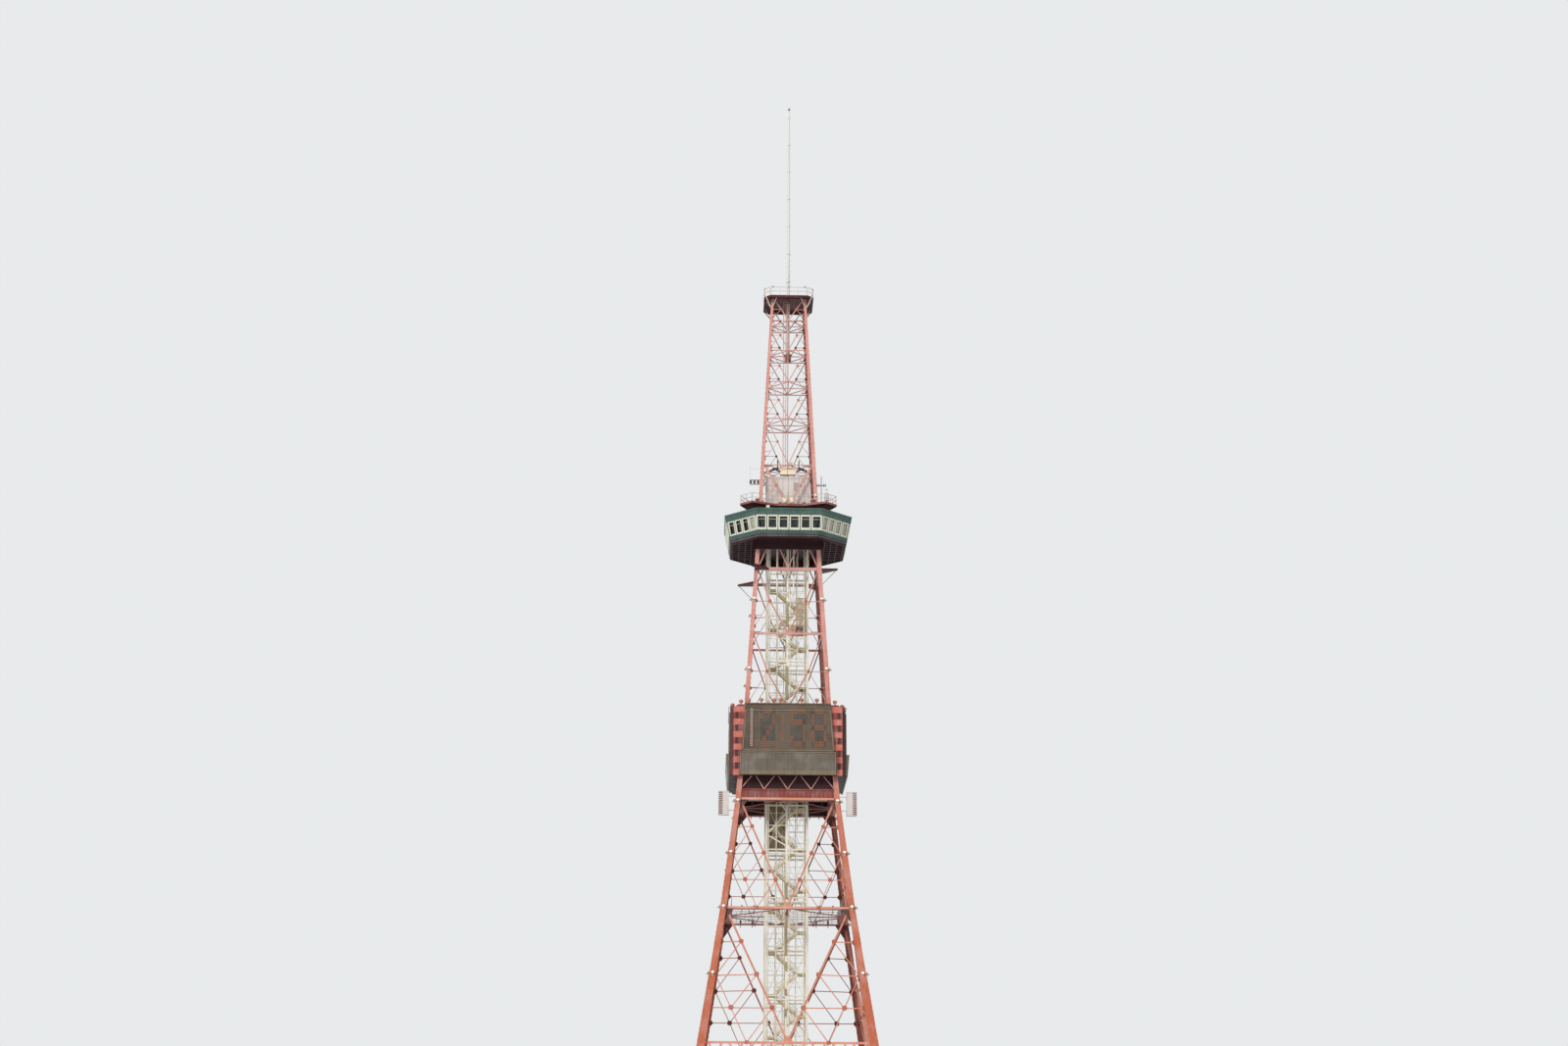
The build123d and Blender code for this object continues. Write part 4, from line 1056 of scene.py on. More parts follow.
class MAST_OT_core(Step, bpy.types.Operator):
    """Rails, rods, pipes, cable ducts, screens and splice plates on the lift and stair core"""

    bl_idname = "mast.core"
    bl_label = "Core fittings"

    HALF, COLUMN, STOREY = 0.24, 0.028, 0.567
    RAILS = (0.25, 0.75)   # how far below each floor its two rails are, in storeys
    GUIDES_X, GUIDES_Y = (-0.205, -0.035), (0.10, 0.14)
    SPLICE_LIFT, SPLICE_TALL = 0.09, 0.075
    # Pipes up the front, as their place across and their radius, and the places of those with collars
    PIPES = ((-0.215, 0.0055), (-0.124, 0.0045), (0.03, 0.0055), (0.198, 0.005))
    COLLARS, COLLAR = (-0.215, 0.03, 0.198), ((0.009, -0.008), (0.009, 0.008))
    # The cable duct's place across, and the foot and head of each of its lengths
    DUCT_X = -0.002
    DUCTS = np.array([(3.16, 3.24), (3.40, 3.47), (3.68, 3.78), (3.86, 4.36), (4.52, 4.70), (6.90, 7.30),
                      (7.80, 8.10)])
    # Slatted screens: left and right side, foot and head, first the olive one and then the rusty one
    SCREENS = ((0.105, 0.225, 7.68, 8.15), (0.015, 0.19, 7.675, 7.80))
    # Braces over the shaft's sheets: where they start at its left and end at its right, as shares of
    # its height, and those two sides
    BRACES, BRACES_X = np.array([(0.97, 0.58), (0.20, 0.52), (0.16, 0.0)]), (-0.22, -0.015)

    def build(self, scene):
        top, face = high("core_frame"), -self.HALF - self.COLUMN / 2
        floors = np.arange(1, int(top / self.STOREY) + 1) * self.STOREY
        guides = [tubes((x, y, 0.0), (x, y, top), 0.004) for x in self.GUIDES_X for y in self.GUIDES_Y]
        olive, rusty = [self.screen(face, *sides) for sides in self.SCREENS]
        piece("core_rods", [four_ways(*self.rods(floors, top)), *guides], "core_paint", once=True)
        piece("core_splices", self.splices(floors + self.SPLICE_LIFT, face), "core_paint")
        piece("core_pipes", self.pipes(floors - 0.02, face - 0.01), "core_paint", once=True, smooth=True)
        piece("shaft_braces", self.braces(face - 0.003), "core_paint", once=True)
        piece("core_ducts", [*self.ducts(face - 0.008), olive], "shaft_sheet", "olive_duct", once=True)
        piece("core_low_screen", rusty, "shaft_sheet", "rusty_screen", once=True)

    def rods(self, floors, top):
        """One side's rails, its two upright rods and the thin ties that cross them."""
        half, out, bottoms, heads = self.HALF, -self.HALF - 0.006, floors - self.STOREY + 0.02, floors - 0.07
        rods = []
        for share in self.RAILS:
            level = floors - share * self.STOREY
            rods.append(tubes((-half, -half, level), (half, -half, level), 0.003))
        for middle in (-half / 2, half / 2):
            rods.append(tubes((middle, -half, 0.0), (middle, -half, top), 0.0045))
            for lean in (-0.1, 0.1):
                rods.append(tubes((middle - lean, out, bottoms), (middle + lean, out, heads), 0.0022))
        return rods

    def splices(self, levels, face):
        """Riveted plates on one side's columns."""
        shapes = []
        for x in (-self.HALF, 0.0, self.HALF):
            shapes.append(sheets((x, face, levels), -BACK, RIGHT, self.COLUMN * 0.9, self.SPLICE_TALL, 0.003))
            for lift in (-0.022, 0.022):
                for side in (-0.009, 0.009):
                    shapes.append(rivets((x + side, face - 0.003, levels + lift), -BACK, 0.0028))
        return shapes

    def pipes(self, levels, y):
        """Pipes up to the deck, some with collars."""
        shapes = [tubes((x, y, 0.02), (x, y, DECK_Z), radius) for x, radius in self.PIPES]
        return shapes + [spun(self.COLLAR, (x, y, levels), UP, 8) for x in self.COLLARS]

    def ducts(self, y):
        """Lengths of flat cable duct, each with a thicker foot."""
        x, (foot, head) = self.DUCT_X, self.DUCTS.T
        return [bars(0.03, 0.012, (x, y, foot), (x, y, head), RIGHT, BACK),
                bars(0.034, 0.016, (x, y - 0.001, foot), (x, y - 0.001, foot + 0.01), RIGHT, BACK)]

    def braces(self, y):
        """Flat bars across the shaft's sheets."""
        bottom, tall = low("shaft_sheeting"), high("shaft_sheeting") - low("shaft_sheeting")
        starts, ends = bottom + self.BRACES.T * tall
        return bars(0.014, 0.004, (self.BRACES_X[0], y, starts), (self.BRACES_X[1], y, ends), UP)

    def screen(self, face, left, right, low_z, high_z):
        """A slatted screen between three rails on the core's front."""
        across = np.arange(left, right + 0.001, 0.015)
        levels = (low_z + 0.004, (low_z + high_z) / 2, high_z - 0.004)
        return joined(bars(0.011, 0.002, (across, face - 0.004, low_z), (across, face - 0.004, high_z)),
                      bars(0.008, 0.004, (left, face - 0.007, levels), (right, face - 0.007, levels), UP))


class MAST_OT_galleries(Step, bpy.types.Operator):
    """Handrails, lamps and knee plates of the two galleries inside the legs"""

    bl_idname = "mast.galleries"
    bl_label = "Gallery fittings"

    # Each gallery's frame, its walkway's width, its guards' height in handrails and their rails
    GALLERIES = (("lower_gallery", 0.1, 1.5, (0.2, 0.4, 0.6, 0.8, 1.0)),
                 ("upper_gallery", 0.08, 1.0, (0.33, 0.66, 1.0)))
    LAMPS = np.array([-0.82, -0.6, 0.6, 0.82])
    KNEE = 0.09            # width of a knee plate's top

    def build(self, scene):
        guards, lamps, knees = [], [], []
        for node, walk, guard, levels in self.GALLERIES:
            level, reach = high(node), float(leg_place(low(node), 0.5))
            for distance, half in ((reach - walk + 0.004, reach - walk), (reach - 0.022, reach - 0.06)):
                line = handrail((-half, -distance, level), (half, -distance, level),
                                scene.mast_sizes.handrail * guard, 0.0024, 0.105, levels)
                guards += [rotated(line, degrees) for degrees in (90, 180, 270)]
            x, y = self.LAMPS * (reach - walk), walk - reach
            lamps.append(bars(0.022, 0.02, (x, y, level + 0.004), (x, y, level + 0.04), RIGHT, BACK))
            lamps.append(tubes((x, y, level - 0.05), (x, y, level + 0.004), 0.004))
        for panel in lattice_panels():
            if panel.kind == "quarter":
                top_x, top_y = panel.leg_at(1)
                outline = [(top_x, top_y), (top_x - self.KNEE, top_y), panel.leg_at(0.9)]
                for out in (0.0, -panel.depth - 0.004):
                    knees.append(panel.plate(outline, (0, 0), out, 0.004))
        piece("gallery_rails", guards, "railing_paint", "rail_grey", once=True)
        piece("gallery_lamps", lamps, "gallery_paint", "dark_fitting")
        piece("knee_plates", mirrored(*knees), "gallery_paint", "dark_fitting")


class MAST_OT_girder(Step, bpy.types.Operator):
    """Deep red plates, ribs and flanges on the girder below the clock"""

    bl_idname = "mast.girder"
    bl_label = "Clock girder"

    DEEP = 0.132
    RIBS = 21

    def build(self, scene):
        panel = Lattice("girder", CLOCK_GIRDER_Z, SOFFIT_Z - 0.01, MAIN, self.DEEP)
        half = panel.low_in - 0.012
        across = np.linspace(-half + 0.02, half - 0.02, self.RIBS)
        between = (across[:-1] + across[1:]) / 2
        plates, backs, chords, studs = [], [], [], []
        for out, sign, webs in ((0.0, 1, plates), (-panel.depth, -1, backs)):
            webs.append(panel.plate(oblong(2 * half, self.DEEP), (0, self.DEEP / 2), out, 0.003 * sign))
            plates.append(bars(0.007, 0.012, panel.on_face(across, 0.03, out + 0.008 * sign),
                               panel.on_face(across, self.DEEP - 0.012, out + 0.008 * sign)))
            studs.append(rivets(panel.on_face(between, self.DEEP - 0.03, out + 0.003 * sign),
                                panel.facing * sign, 0.0035))
            for level, deep, group in ((0.014, 0.026, chords), (self.DEEP - 0.006, 0.012, plates)):
                left, right = panel.on_face((-half, half), level, out + 0.007 * sign)
                group.append(bars(deep, 0.016, left, right, panel.slope))
        # A dark board behind the girder's upper part, up to the soffit: painted shade in the recess under the
        # clock.
        foot, head = panel.on_face(0, (self.DEEP, panel.length), -panel.depth - 0.003)
        piece("clock_recess_shade_board", bars(2 * half, 0.005, foot, head), "soffit_plate")
        piece("clock_girder_plates", plates, "gallery_paint")
        piece("clock_girder_backs", backs, "gallery_paint", "inner_fitting")
        # The back web gets a darker paint: painted shade inside the girder.
        piece("clock_girder_rivets", studs, "gallery_paint")
        piece("clock_girder_chords", chords, "lower_lattice_paint")


class MAST_OT_clock(Step, bpy.types.Operator):
    """Frames, lamp-dot digits, sign trims, top lamps and corner plates of the clock storey"""

    bl_idname = "mast.clock"
    bl_label = "Clock storey"

    # Which cells of a digit have lamps, from its top row down, and each digit's middle
    CELLS = {
        "1": ["..#.."] * 7,
        "2": [".###.", "#...#", "....#", "...#.", "..#..", ".#...", "#####"],
        ":": [".....", "..#..", "..#..", ".....", "..#..", "..#..", "....."],
        "5": ["#####", "#....", "####.", "....#", "....#", "#...#", ".###."],
        "8": [".###.", "#...#", "#...#", ".###.", "#...#", "#...#", ".###."],
    }
    DIGITS = (("1", -0.43), ("2", -0.24), (":", -0.066), ("5", 0.115), ("8", 0.365))
    DIGITS_LOW, DOT_STEP = 6.235, 0.018
    BLOCK = (2, 3)         # lamps across and up in one cell of a digit
    LINES = np.array([-0.345, -0.135, 0.0, 0.24])
    SIGN_LEAN = 0.022
    SHOULDER = 0.05        # height of the slope at a corner post's top
    POCKET_X, POCKET_DEEP, POCKET_PITCH, PLATE_TALL = 0.602, 0.012, 0.15, 0.072
    CUP = ((0.006, 0.0), (0.006, 0.012), (0.022, 0.030), (0.028, 0.050), (0.016, 0.062), (0.004, 0.066))
    CUPS = (-0.317, -0.162, -0.09, 0.16, 0.338)

    def build(self, scene):
        (_, front, self.low), (self.half_low, self.inside, self.high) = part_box("clock_case_front")
        self.face = -front
        case = points_of("clock_case_front")
        self.half_high = float(case[case[:, 2] > self.high - 1e-3, 0].max())
        self.frames(high("sign_boards"))
        self.digits(scene.mast_sizes)
        self.sign()
        self.ends()
        low_post, high_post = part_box("clock_corner_posts")
        self.top(high_post)
        self.corners(low_post.z, high_post)

    def edge(self, height):
        """Half-width of a clock case at a height."""
        return np.interp(height, [self.low, self.high], [self.half_low, self.half_high])

    def frames(self, sign_top):
        """Olive bars round each display and down it, and a dark bar over the sign: a painted shadow in the
        gap there.
        """
        low_z, high_z, out = sign_top + 0.022, self.high - 0.09, -self.face - 0.004
        wide, narrow = self.edge(low_z) - 0.008, self.edge(high_z) - 0.008
        feet = points((-wide, wide), out, low_z)
        heads = points((-narrow, narrow), out, high_z)
        trims = [bars(0.014, 0.010, feet[0], feet[1], UP), bars(0.014, 0.010, feet, heads),
                 bars(0.010, 0.008, heads[0], heads[1], UP),
                 bars(0.004, 0.004, (self.LINES, out + 0.003, low_z), (self.LINES, out + 0.003, high_z))]
        reach, place = self.half_low - 0.01, (out + 0.002, sign_top + 0.006)
        gap_shadow = bars(0.016, 0.006, (-reach, *place), (reach, *place), UP)
        piece("display_frames", trims, "display", "olive_trim")
        piece("display_gap_shadow", gap_shadow, "display", "dark_fitting")

    def digits(self, sizes):
        """Each cell of a digit's pattern is a block of lamps."""
        wide, tall = self.BLOCK
        step_x, step_z = self.DOT_STEP, sizes.digit_height / (7 * tall)
        middle_z = self.DIGITS_LOW + sizes.digit_height / 2
        groups, cells = {"pale_dot": [], "dim_dot": []}, []
        for sign, middle in self.DIGITS:
            found, columns = np.nonzero(np.array([[cell == "#" for cell in row] for row in self.CELLS[sign]]))
            x = middle + (columns[:, None] * wide + np.arange(wide) - 2.5 * wide + 0.5) * step_x
            z = self.DIGITS_LOW + ((6 - found)[:, None] * tall + np.arange(tall) + 0.5) * step_z
            lit = "pale_dot" if sign == "1" else "dim_dot"
            groups[lit].append(points(x[:, :, None], -self.face, z[:, None]))
            if sign in "258":
                cells.append(sheets((middle, -self.face, middle_z), -BACK, RIGHT, 5 * wide * step_x,
                                    sizes.digit_height, 0.001))
        rim = sheets((self.DIGITS[0][1], -self.face, middle_z), -BACK, RIGHT, step_x * wide + 0.014,
                     sizes.digit_height + 0.014, 0.0012)
        piece("digit_rim", rim, "display", "inner_fitting")
        piece("unlit_cells", cells, "display", "unlit_cells")
        lens = [(sizes.dot, 0), (sizes.dot, 0.003), (sizes.dot * 0.55, 0.0055)]
        for name, places in groups.items():
            dots = spun(lens, np.concatenate(places), -BACK, 6)
            piece("digits_" + name.split("_")[0], dots, "display", name)

    def sign(self):
        """Trims round the bare sign boards, and rivets along them."""
        low_z, high_z, half = low("sign_boards"), high("sign_boards"), self.half_low
        up = unit(np.array([0.0, -self.SIGN_LEAN / (high_z - low_z), 1.0]))
        facing, deep = np.cross(RIGHT, up), (high_z - low_z) / up[2]
        foot = np.array([0.0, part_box("sign_boards")[0].y + self.SIGN_LEAN, low_z])
        trims, studs = [], []
        for level, height, thick in ((0.028, 0.05, 0.004), (deep - 0.006, 0.012, 0.006)):
            middle = foot + up * level
            trims.append(bars(2 * half - 0.004, height, middle, middle + facing * thick, RIGHT, up))
        for x in (-half + 0.008, half - 0.008):
            start = foot + RIGHT * x + facing * 0.003
            trims.append(bars(0.012, 0.006, start, start + up * deep))
        across = points(np.linspace(-half + 0.03, half - 0.03, 19), 0.0, 0.0)
        for level, out in ((0.016, 0.004), (0.04, 0.004), (deep - 0.02, 0.0)):
            studs.append(rivets(foot + up * level + across + facing * out, facing, 0.003))
        piece("sign_trims", trims, "sign_board", "olive_trim")
        piece("sign_rivets", studs, "sign_board", "olive_trim")

    def ends(self):
        """A maroon plate over both ends of each case: painted shade on the cases' edges."""
        middle, deep = (self.inside - self.face) / 2, self.inside + self.face - 0.004
        plate = bars(0.003, deep, (self.half_low + 0.001, middle, self.low + 0.004),
                     (self.half_high + 0.001, middle, self.high - 0.004), RIGHT, BACK)
        piece("case_end_shade", mirrored(plate), "display", "dark_fitting")

    def top(self, post):
        """Lamp cups on brackets along the top edge and on the corner posts, and a rail."""
        place = (-self.face - 0.012, self.high - 0.01)
        shoulder = post.x - 0.085
        cups = [spun(self.CUP, (self.CUPS, 0.03 - self.face, self.high), UP, 8),
                spun(self.CUP, (shoulder, -shoulder, post.z), UP, 8)]
        piece("clock_top_lamps", cups, "leg_paint", smooth=True)
        piece("clock_top_rail", tubes((-0.49, *place), (0.49, *place), 0.004), "display", "olive_trim")

    def corners(self, low_z, post):
        """Dark plates in the corner posts' pockets, as painted shade in those recesses, and riveted covers
        between the posts and cases.
        """
        middle_z = (low_z + post.z - self.SHOULDER) / 2
        pockets = middle_z + (np.arange(5) - 2) * self.POCKET_PITCH
        covers = middle_z + (np.arange(6) - 2.5) * self.POCKET_PITCH
        inner, away = self.edge(covers) + 0.006, post.x - 0.004
        plates, lids = [], []
        for facing, across, along in ((-BACK, RIGHT, -RIGHT), (RIGHT, BACK, BACK)):
            spot = facing * (post.x - self.POCKET_DEEP) + along * self.POCKET_X + UP * pockets[:, None]
            plates.append(sheets(spot, facing, across, 0.030, self.PLATE_TALL, 0.003))
            for lift in (-0.024, -0.008, 0.008, 0.024):
                plates.append(sheets(spot + UP * lift + facing * 0.003, facing, across, 0.026, 0.004, 0.004))
            lid = facing * post.x + along * ((away + inner) / 2)[:, None] + UP * covers[:, None]
            lids += [sheets(place, facing, across, size, self.PLATE_TALL, 0.003)
                     for place, size in zip(lid, (away - inner).tolist())]
            for side in (-0.022, 0.022):
                for lift in (-0.021, 0.021):
                    lids.append(rivets(lid + across * side + UP * lift + facing * 0.003, facing, 0.0035))
        piece("corner_pocket_shade", plates, "gallery_paint", "dark_fitting")
        piece("corner_cover_plates", lids, "leg_paint", "post_cover")


class MAST_OT_racks(Step, bpy.types.Operator):
    """Brown slats, frames and arms on the two aerials beside the clock girder"""

    bl_idname = "mast.racks"
    bl_label = "Aerials"

    WIDE, BAR = 0.118, 0.006
    SLATS, SLATS_WIDE = 11, 0.045
    SLATS_IN = 0.016       # from an aerial's ends to its outer slats
    ARMS = (0.2, 0.8)      # how far up the aerials their arms are

    def build(self, scene):
        (_, front, bottom), (outside, back, top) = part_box("aerial_racks")
        inside = outside - self.WIDE
        slats, frames = [], []
        for hand in (-1, 1):
            near, far = sorted((hand * (outside - self.SLATS_WIDE), hand * outside))
            for level in np.linspace(bottom + self.SLATS_IN, top - self.SLATS_IN, self.SLATS).tolist():
                slats.append(slab((near, front - 0.005, level - 0.006), (far, back + 0.005, level + 0.006)))
            x, y, z = hand * np.repeat([inside, outside], 2), (front, back) * 2, np.repeat([bottom, top], 2)
            frames.append(bars(self.BAR, self.BAR, (x, y, bottom), (x, y, top)))
            frames.append(bars(self.BAR, self.BAR, (hand * inside, y, z), (hand * outside, y, z), UP))
            for share in self.ARMS:
                level = bottom + share * (top - bottom)
                near, far = sorted((hand * (float(outer(level)) - 0.004), hand * inside))
                frames.append(slab((near, front + 0.01, level - 0.004), (far, front + 0.018, level + 0.004)))
        piece("aerial_slats", slats, "aerial_shell", "brown_slat", once=True)
        piece("aerial_frames", frames, "aerial_shell", once=True)


class DeckWall:
    """The outside of the observation deck: a main front, or a corner front seen square on."""

    # Distance from the axis and half-length of a main front, at the deck's floor and at its top
    LOW, HIGH = np.array([0.70, 0.352]), np.array([0.77, 0.40])

    def __init__(self, corner):
        self.corner = corner
        # The windows in its row, their width and the distance from one to the next
        self.windows, self.width, self.pitch = (4, 0.088, 0.116) if corner else (6, 0.112, 0.133)
        self.columns = (np.arange(self.windows) - (self.windows - 1) / 2) * self.pitch
        self.up = unit(self.spot(0.0, DECK_TOP_Z)[0] - self.spot(0.0, DECK_Z)[0])
        self.facing = np.cross(RIGHT, self.up)

    def sizes(self, height):
        """The wall's distance from the axis and its half-length at a height."""
        share = (height - DECK_Z) / (DECK_TOP_Z - DECK_Z)
        half, front = self.LOW + share * (self.HIGH - self.LOW)
        if self.corner:
            return (half + front) / math.sqrt(2), (half - front) / math.sqrt(2)
        return half, front

    def spot(self, across, height, out=0.0):
        """Points on the wall or a little way out from it."""
        return points(across, -self.sizes(height)[0] - out, height)

    def level_bars(self, width, depth, middles, half, height, out):
        """Level bars that reach half a length each way from their middles."""
        starts, ends = [self.spot(middles + reach, height, out) for reach in (-half, half)]
        return bars(width, depth, starts, ends, self.up)

    def plates(self, width, height, middles, thick):
        """Plates in the wall's plane."""
        return bars(width, height, middles, middles + self.facing * thick, RIGHT, self.up)

    def strip(self, height, deep, out):
        """A strip along the whole wall, standing out from it."""
        return self.plates(2 * self.sizes(height)[1], deep, self.spot(0.0, height), out)

    def all_round(self, *shapes):
        """The shapes on all four walls of this kind."""
        whole = joined(*shapes)
        return four_ways(rotated(whole, 45) if self.corner else whole)


class MAST_OT_deck(Step, bpy.types.Operator):
    """Window frames, blinds, sill, trims and the ribbed underside of the observation deck"""

    bl_idname = "mast.deck"
    bl_label = "Observation deck"

    WINDOW_LOW, WINDOW_HIGH = 8.875, 9.05
    BAR_SHARE = 0.72       # how far up its window the thin bar is
    SLAT_PITCH, CORDS = 0.012, (-0.03, 0.03)
    RIB_PITCH, CROSS_PITCH, SKIRT_DEEP, SKIRT_RIBS = 0.075, 0.085, 0.085, 11
    # Bulbs under the floor: their places across, their places from front to back, and their profile
    BULBS = ((-0.005, 0.18, 0.02, -0.25), (-0.33, -0.30, 0.36, 0.45))
    BULB = ((0.003, -0.016), (0.009, -0.013), (0.012, -0.004), (0.010, 0.006), (0.005, 0.012), (0.004, 0.03))
    # Pipes from the core to the floor: their places across, their place from front to back, their radius
    PIPES, PIPES_Y, PIPE_RADIUS = (-0.13, 0.0, 0.07), -0.30, 0.009

    def build(self, scene):
        main, corner = walls = DeckWall(False), DeckWall(True)
        middle, tall = (self.WINDOW_LOW + self.WINDOW_HIGH) / 2, self.WINDOW_HIGH - self.WINDOW_LOW
        bar_z = self.WINDOW_LOW + self.BAR_SHARE * tall
        gaps = (np.arange(corner.windows + 1) - corner.windows / 2) * corner.pitch
        # The corner walls' panels take the dimmer cream: painted shade on those walls.
        panels = corner.plates(corner.pitch - corner.width, tall - 0.006, corner.spot(gaps, middle), 0.0015)
        glazing = [wall.all_round(wall.level_bars(0.004, 0.004, wall.columns, wall.width / 2, bar_z, -0.004))
                   for wall in walls]
        piece("window_frames", [self.frames(wall) for wall in walls], "corner_post", "window_frame",
              once=True)
        piece("corner_panels", corner.all_round(panels), "corner_post", "corner_panel", once=True)
        piece("window_bars", glazing, "corner_post", "window_frame", once=True)
        piece("deck_sill", [wall.all_round(wall.strip(DECK_Z + 0.008, 0.016, 0.004)) for wall in walls],
              "deck_paint", "sill_strip", once=True)
        piece("deck_bands", [wall.all_round(wall.strip(DECK_TOP_Z - 0.012, 0.024, 0.005),
                                            wall.strip(DECK_Z + 0.05, 0.006, 0.004)) for wall in walls],
              "deck_paint", once=True)
        # The blinds are down in the front right corner's windows and in the front left's first one
        blinds = [rotated(self.blind(corner, corner.columns, middle, tall), 45),
                  rotated(self.blind(corner, corner.columns[-1:], middle, tall), -45)]
        piece("blinds", blinds, "glass", "blind", once=True)
        self.underside(main, corner)
        self.fittings()

    def frames(self, wall):
        """A pale frame round each window, thicker along its foot."""
        half, bar = wall.width / 2, 0.012 if wall.corner else 0.016
        edges = np.concatenate([wall.columns - half + 0.002, wall.columns + half - 0.002])
        shapes = [bars(bar, 0.006, wall.spot(edges, self.WINDOW_LOW, 0.002),
                       wall.spot(edges, self.WINDOW_HIGH, 0.002))]
        for height, deep in ((self.WINDOW_LOW + 0.013, 0.028), (self.WINDOW_HIGH - 0.009, 0.020)):
            deep *= 0.7 if wall.corner else 1.0
            shapes.append(wall.level_bars(deep, 0.007, wall.columns, half + 0.004, height, 0.002))
        return wall.all_round(*shapes)

    def blind(self, wall, columns, middle, tall):
        """Slatted blinds with their cords and the cloth behind them."""
        slats = np.arange(self.WINDOW_LOW + 0.008, self.WINDOW_HIGH - 0.004, self.SLAT_PITCH).tolist()
        shapes = [wall.level_bars(0.009, 0.002, columns, wall.width / 2 - 0.004, height, -0.009)
                  for height in slats]
        for side in self.CORDS:
            shapes.append(tubes(wall.spot(columns + side, self.WINDOW_LOW, -0.007),
                                wall.spot(columns + side, self.WINDOW_HIGH, -0.007), 0.001))
        shapes.append(wall.plates(wall.width - 0.004, tall, wall.spot(columns, middle, -0.014), 0.002))
        return joined(*shapes)

    def underside(self, main, corner):
        """Ribs both ways under the floor, a rim round it and a skirt round the legs, whose dark plate is
        partly painted shade under the deck.
        """
        reach, width = DeckWall.LOW.tolist()
        inner = float(outer(DECK_Z)) + 0.01
        place = np.arange(inner + 0.045, reach - 0.02, self.RIB_PITCH)
        half = width + reach - place - 0.02
        across = np.arange(-0.34, 0.35, self.CROSS_PITCH)
        ribs = [bars(0.010, 0.014, (-half, -place, DECK_Z - 0.007), (half, -place, DECK_Z - 0.007), BACK, UP),
                bars(0.008, 0.010, (across, -inner, DECK_Z - 0.005), (across, 0.01 - reach, DECK_Z - 0.005),
                     RIGHT, UP)]
        rims = []
        for wall in (main, corner):
            out, half = wall.sizes(DECK_Z)
            rims.append(wall.all_round(bars(0.014, 0.016, (-half, 0.012 - out, DECK_Z - 0.008),
                                            (half, 0.012 - out, DECK_Z - 0.008), BACK, UP)))
        # The skirt's dark plate round the legs stands partly for the shade under the deck (painted shade).
        out, foot = inner + 0.014, DECK_Z - self.SKIRT_DEEP
        across, y = np.linspace(0.02 - out, out - 0.02, self.SKIRT_RIBS), -out - 0.009
        skirt = [slab((-out, -out - 0.006, foot), (out, -out, DECK_Z)),
                 bars(0.006, 0.006, (across, y, foot), (across, y, DECK_Z), RIGHT, BACK)]
        piece("deck_skirt", skirt, "soffit_plate")
        piece("deck_ribs", [four_ways(*ribs), *rims], "soffit_plate", once=True)

    def fittings(self):
        """Bulbs under the floor, and pipes that run up to it from the core."""
        bulbs = spun(self.BULB, (*self.BULBS, DECK_Z - 0.03), UP, 12)
        x, y, z = self.PIPES, self.PIPES_Y, DECK_BEAM_Z - 0.25
        pipes = [tubes((x, y, z), (x, y, DECK_Z), self.PIPE_RADIUS, 10),
                 tubes((x, y, z), (x, y + 0.038, z - 0.04), self.PIPE_RADIUS, 10)]
        piece("deck_bulbs", bulbs, "glass", "lamp_lens", once=True, smooth=True)
        piece("deck_pipes", pipes, "core_paint", once=True, smooth=True)


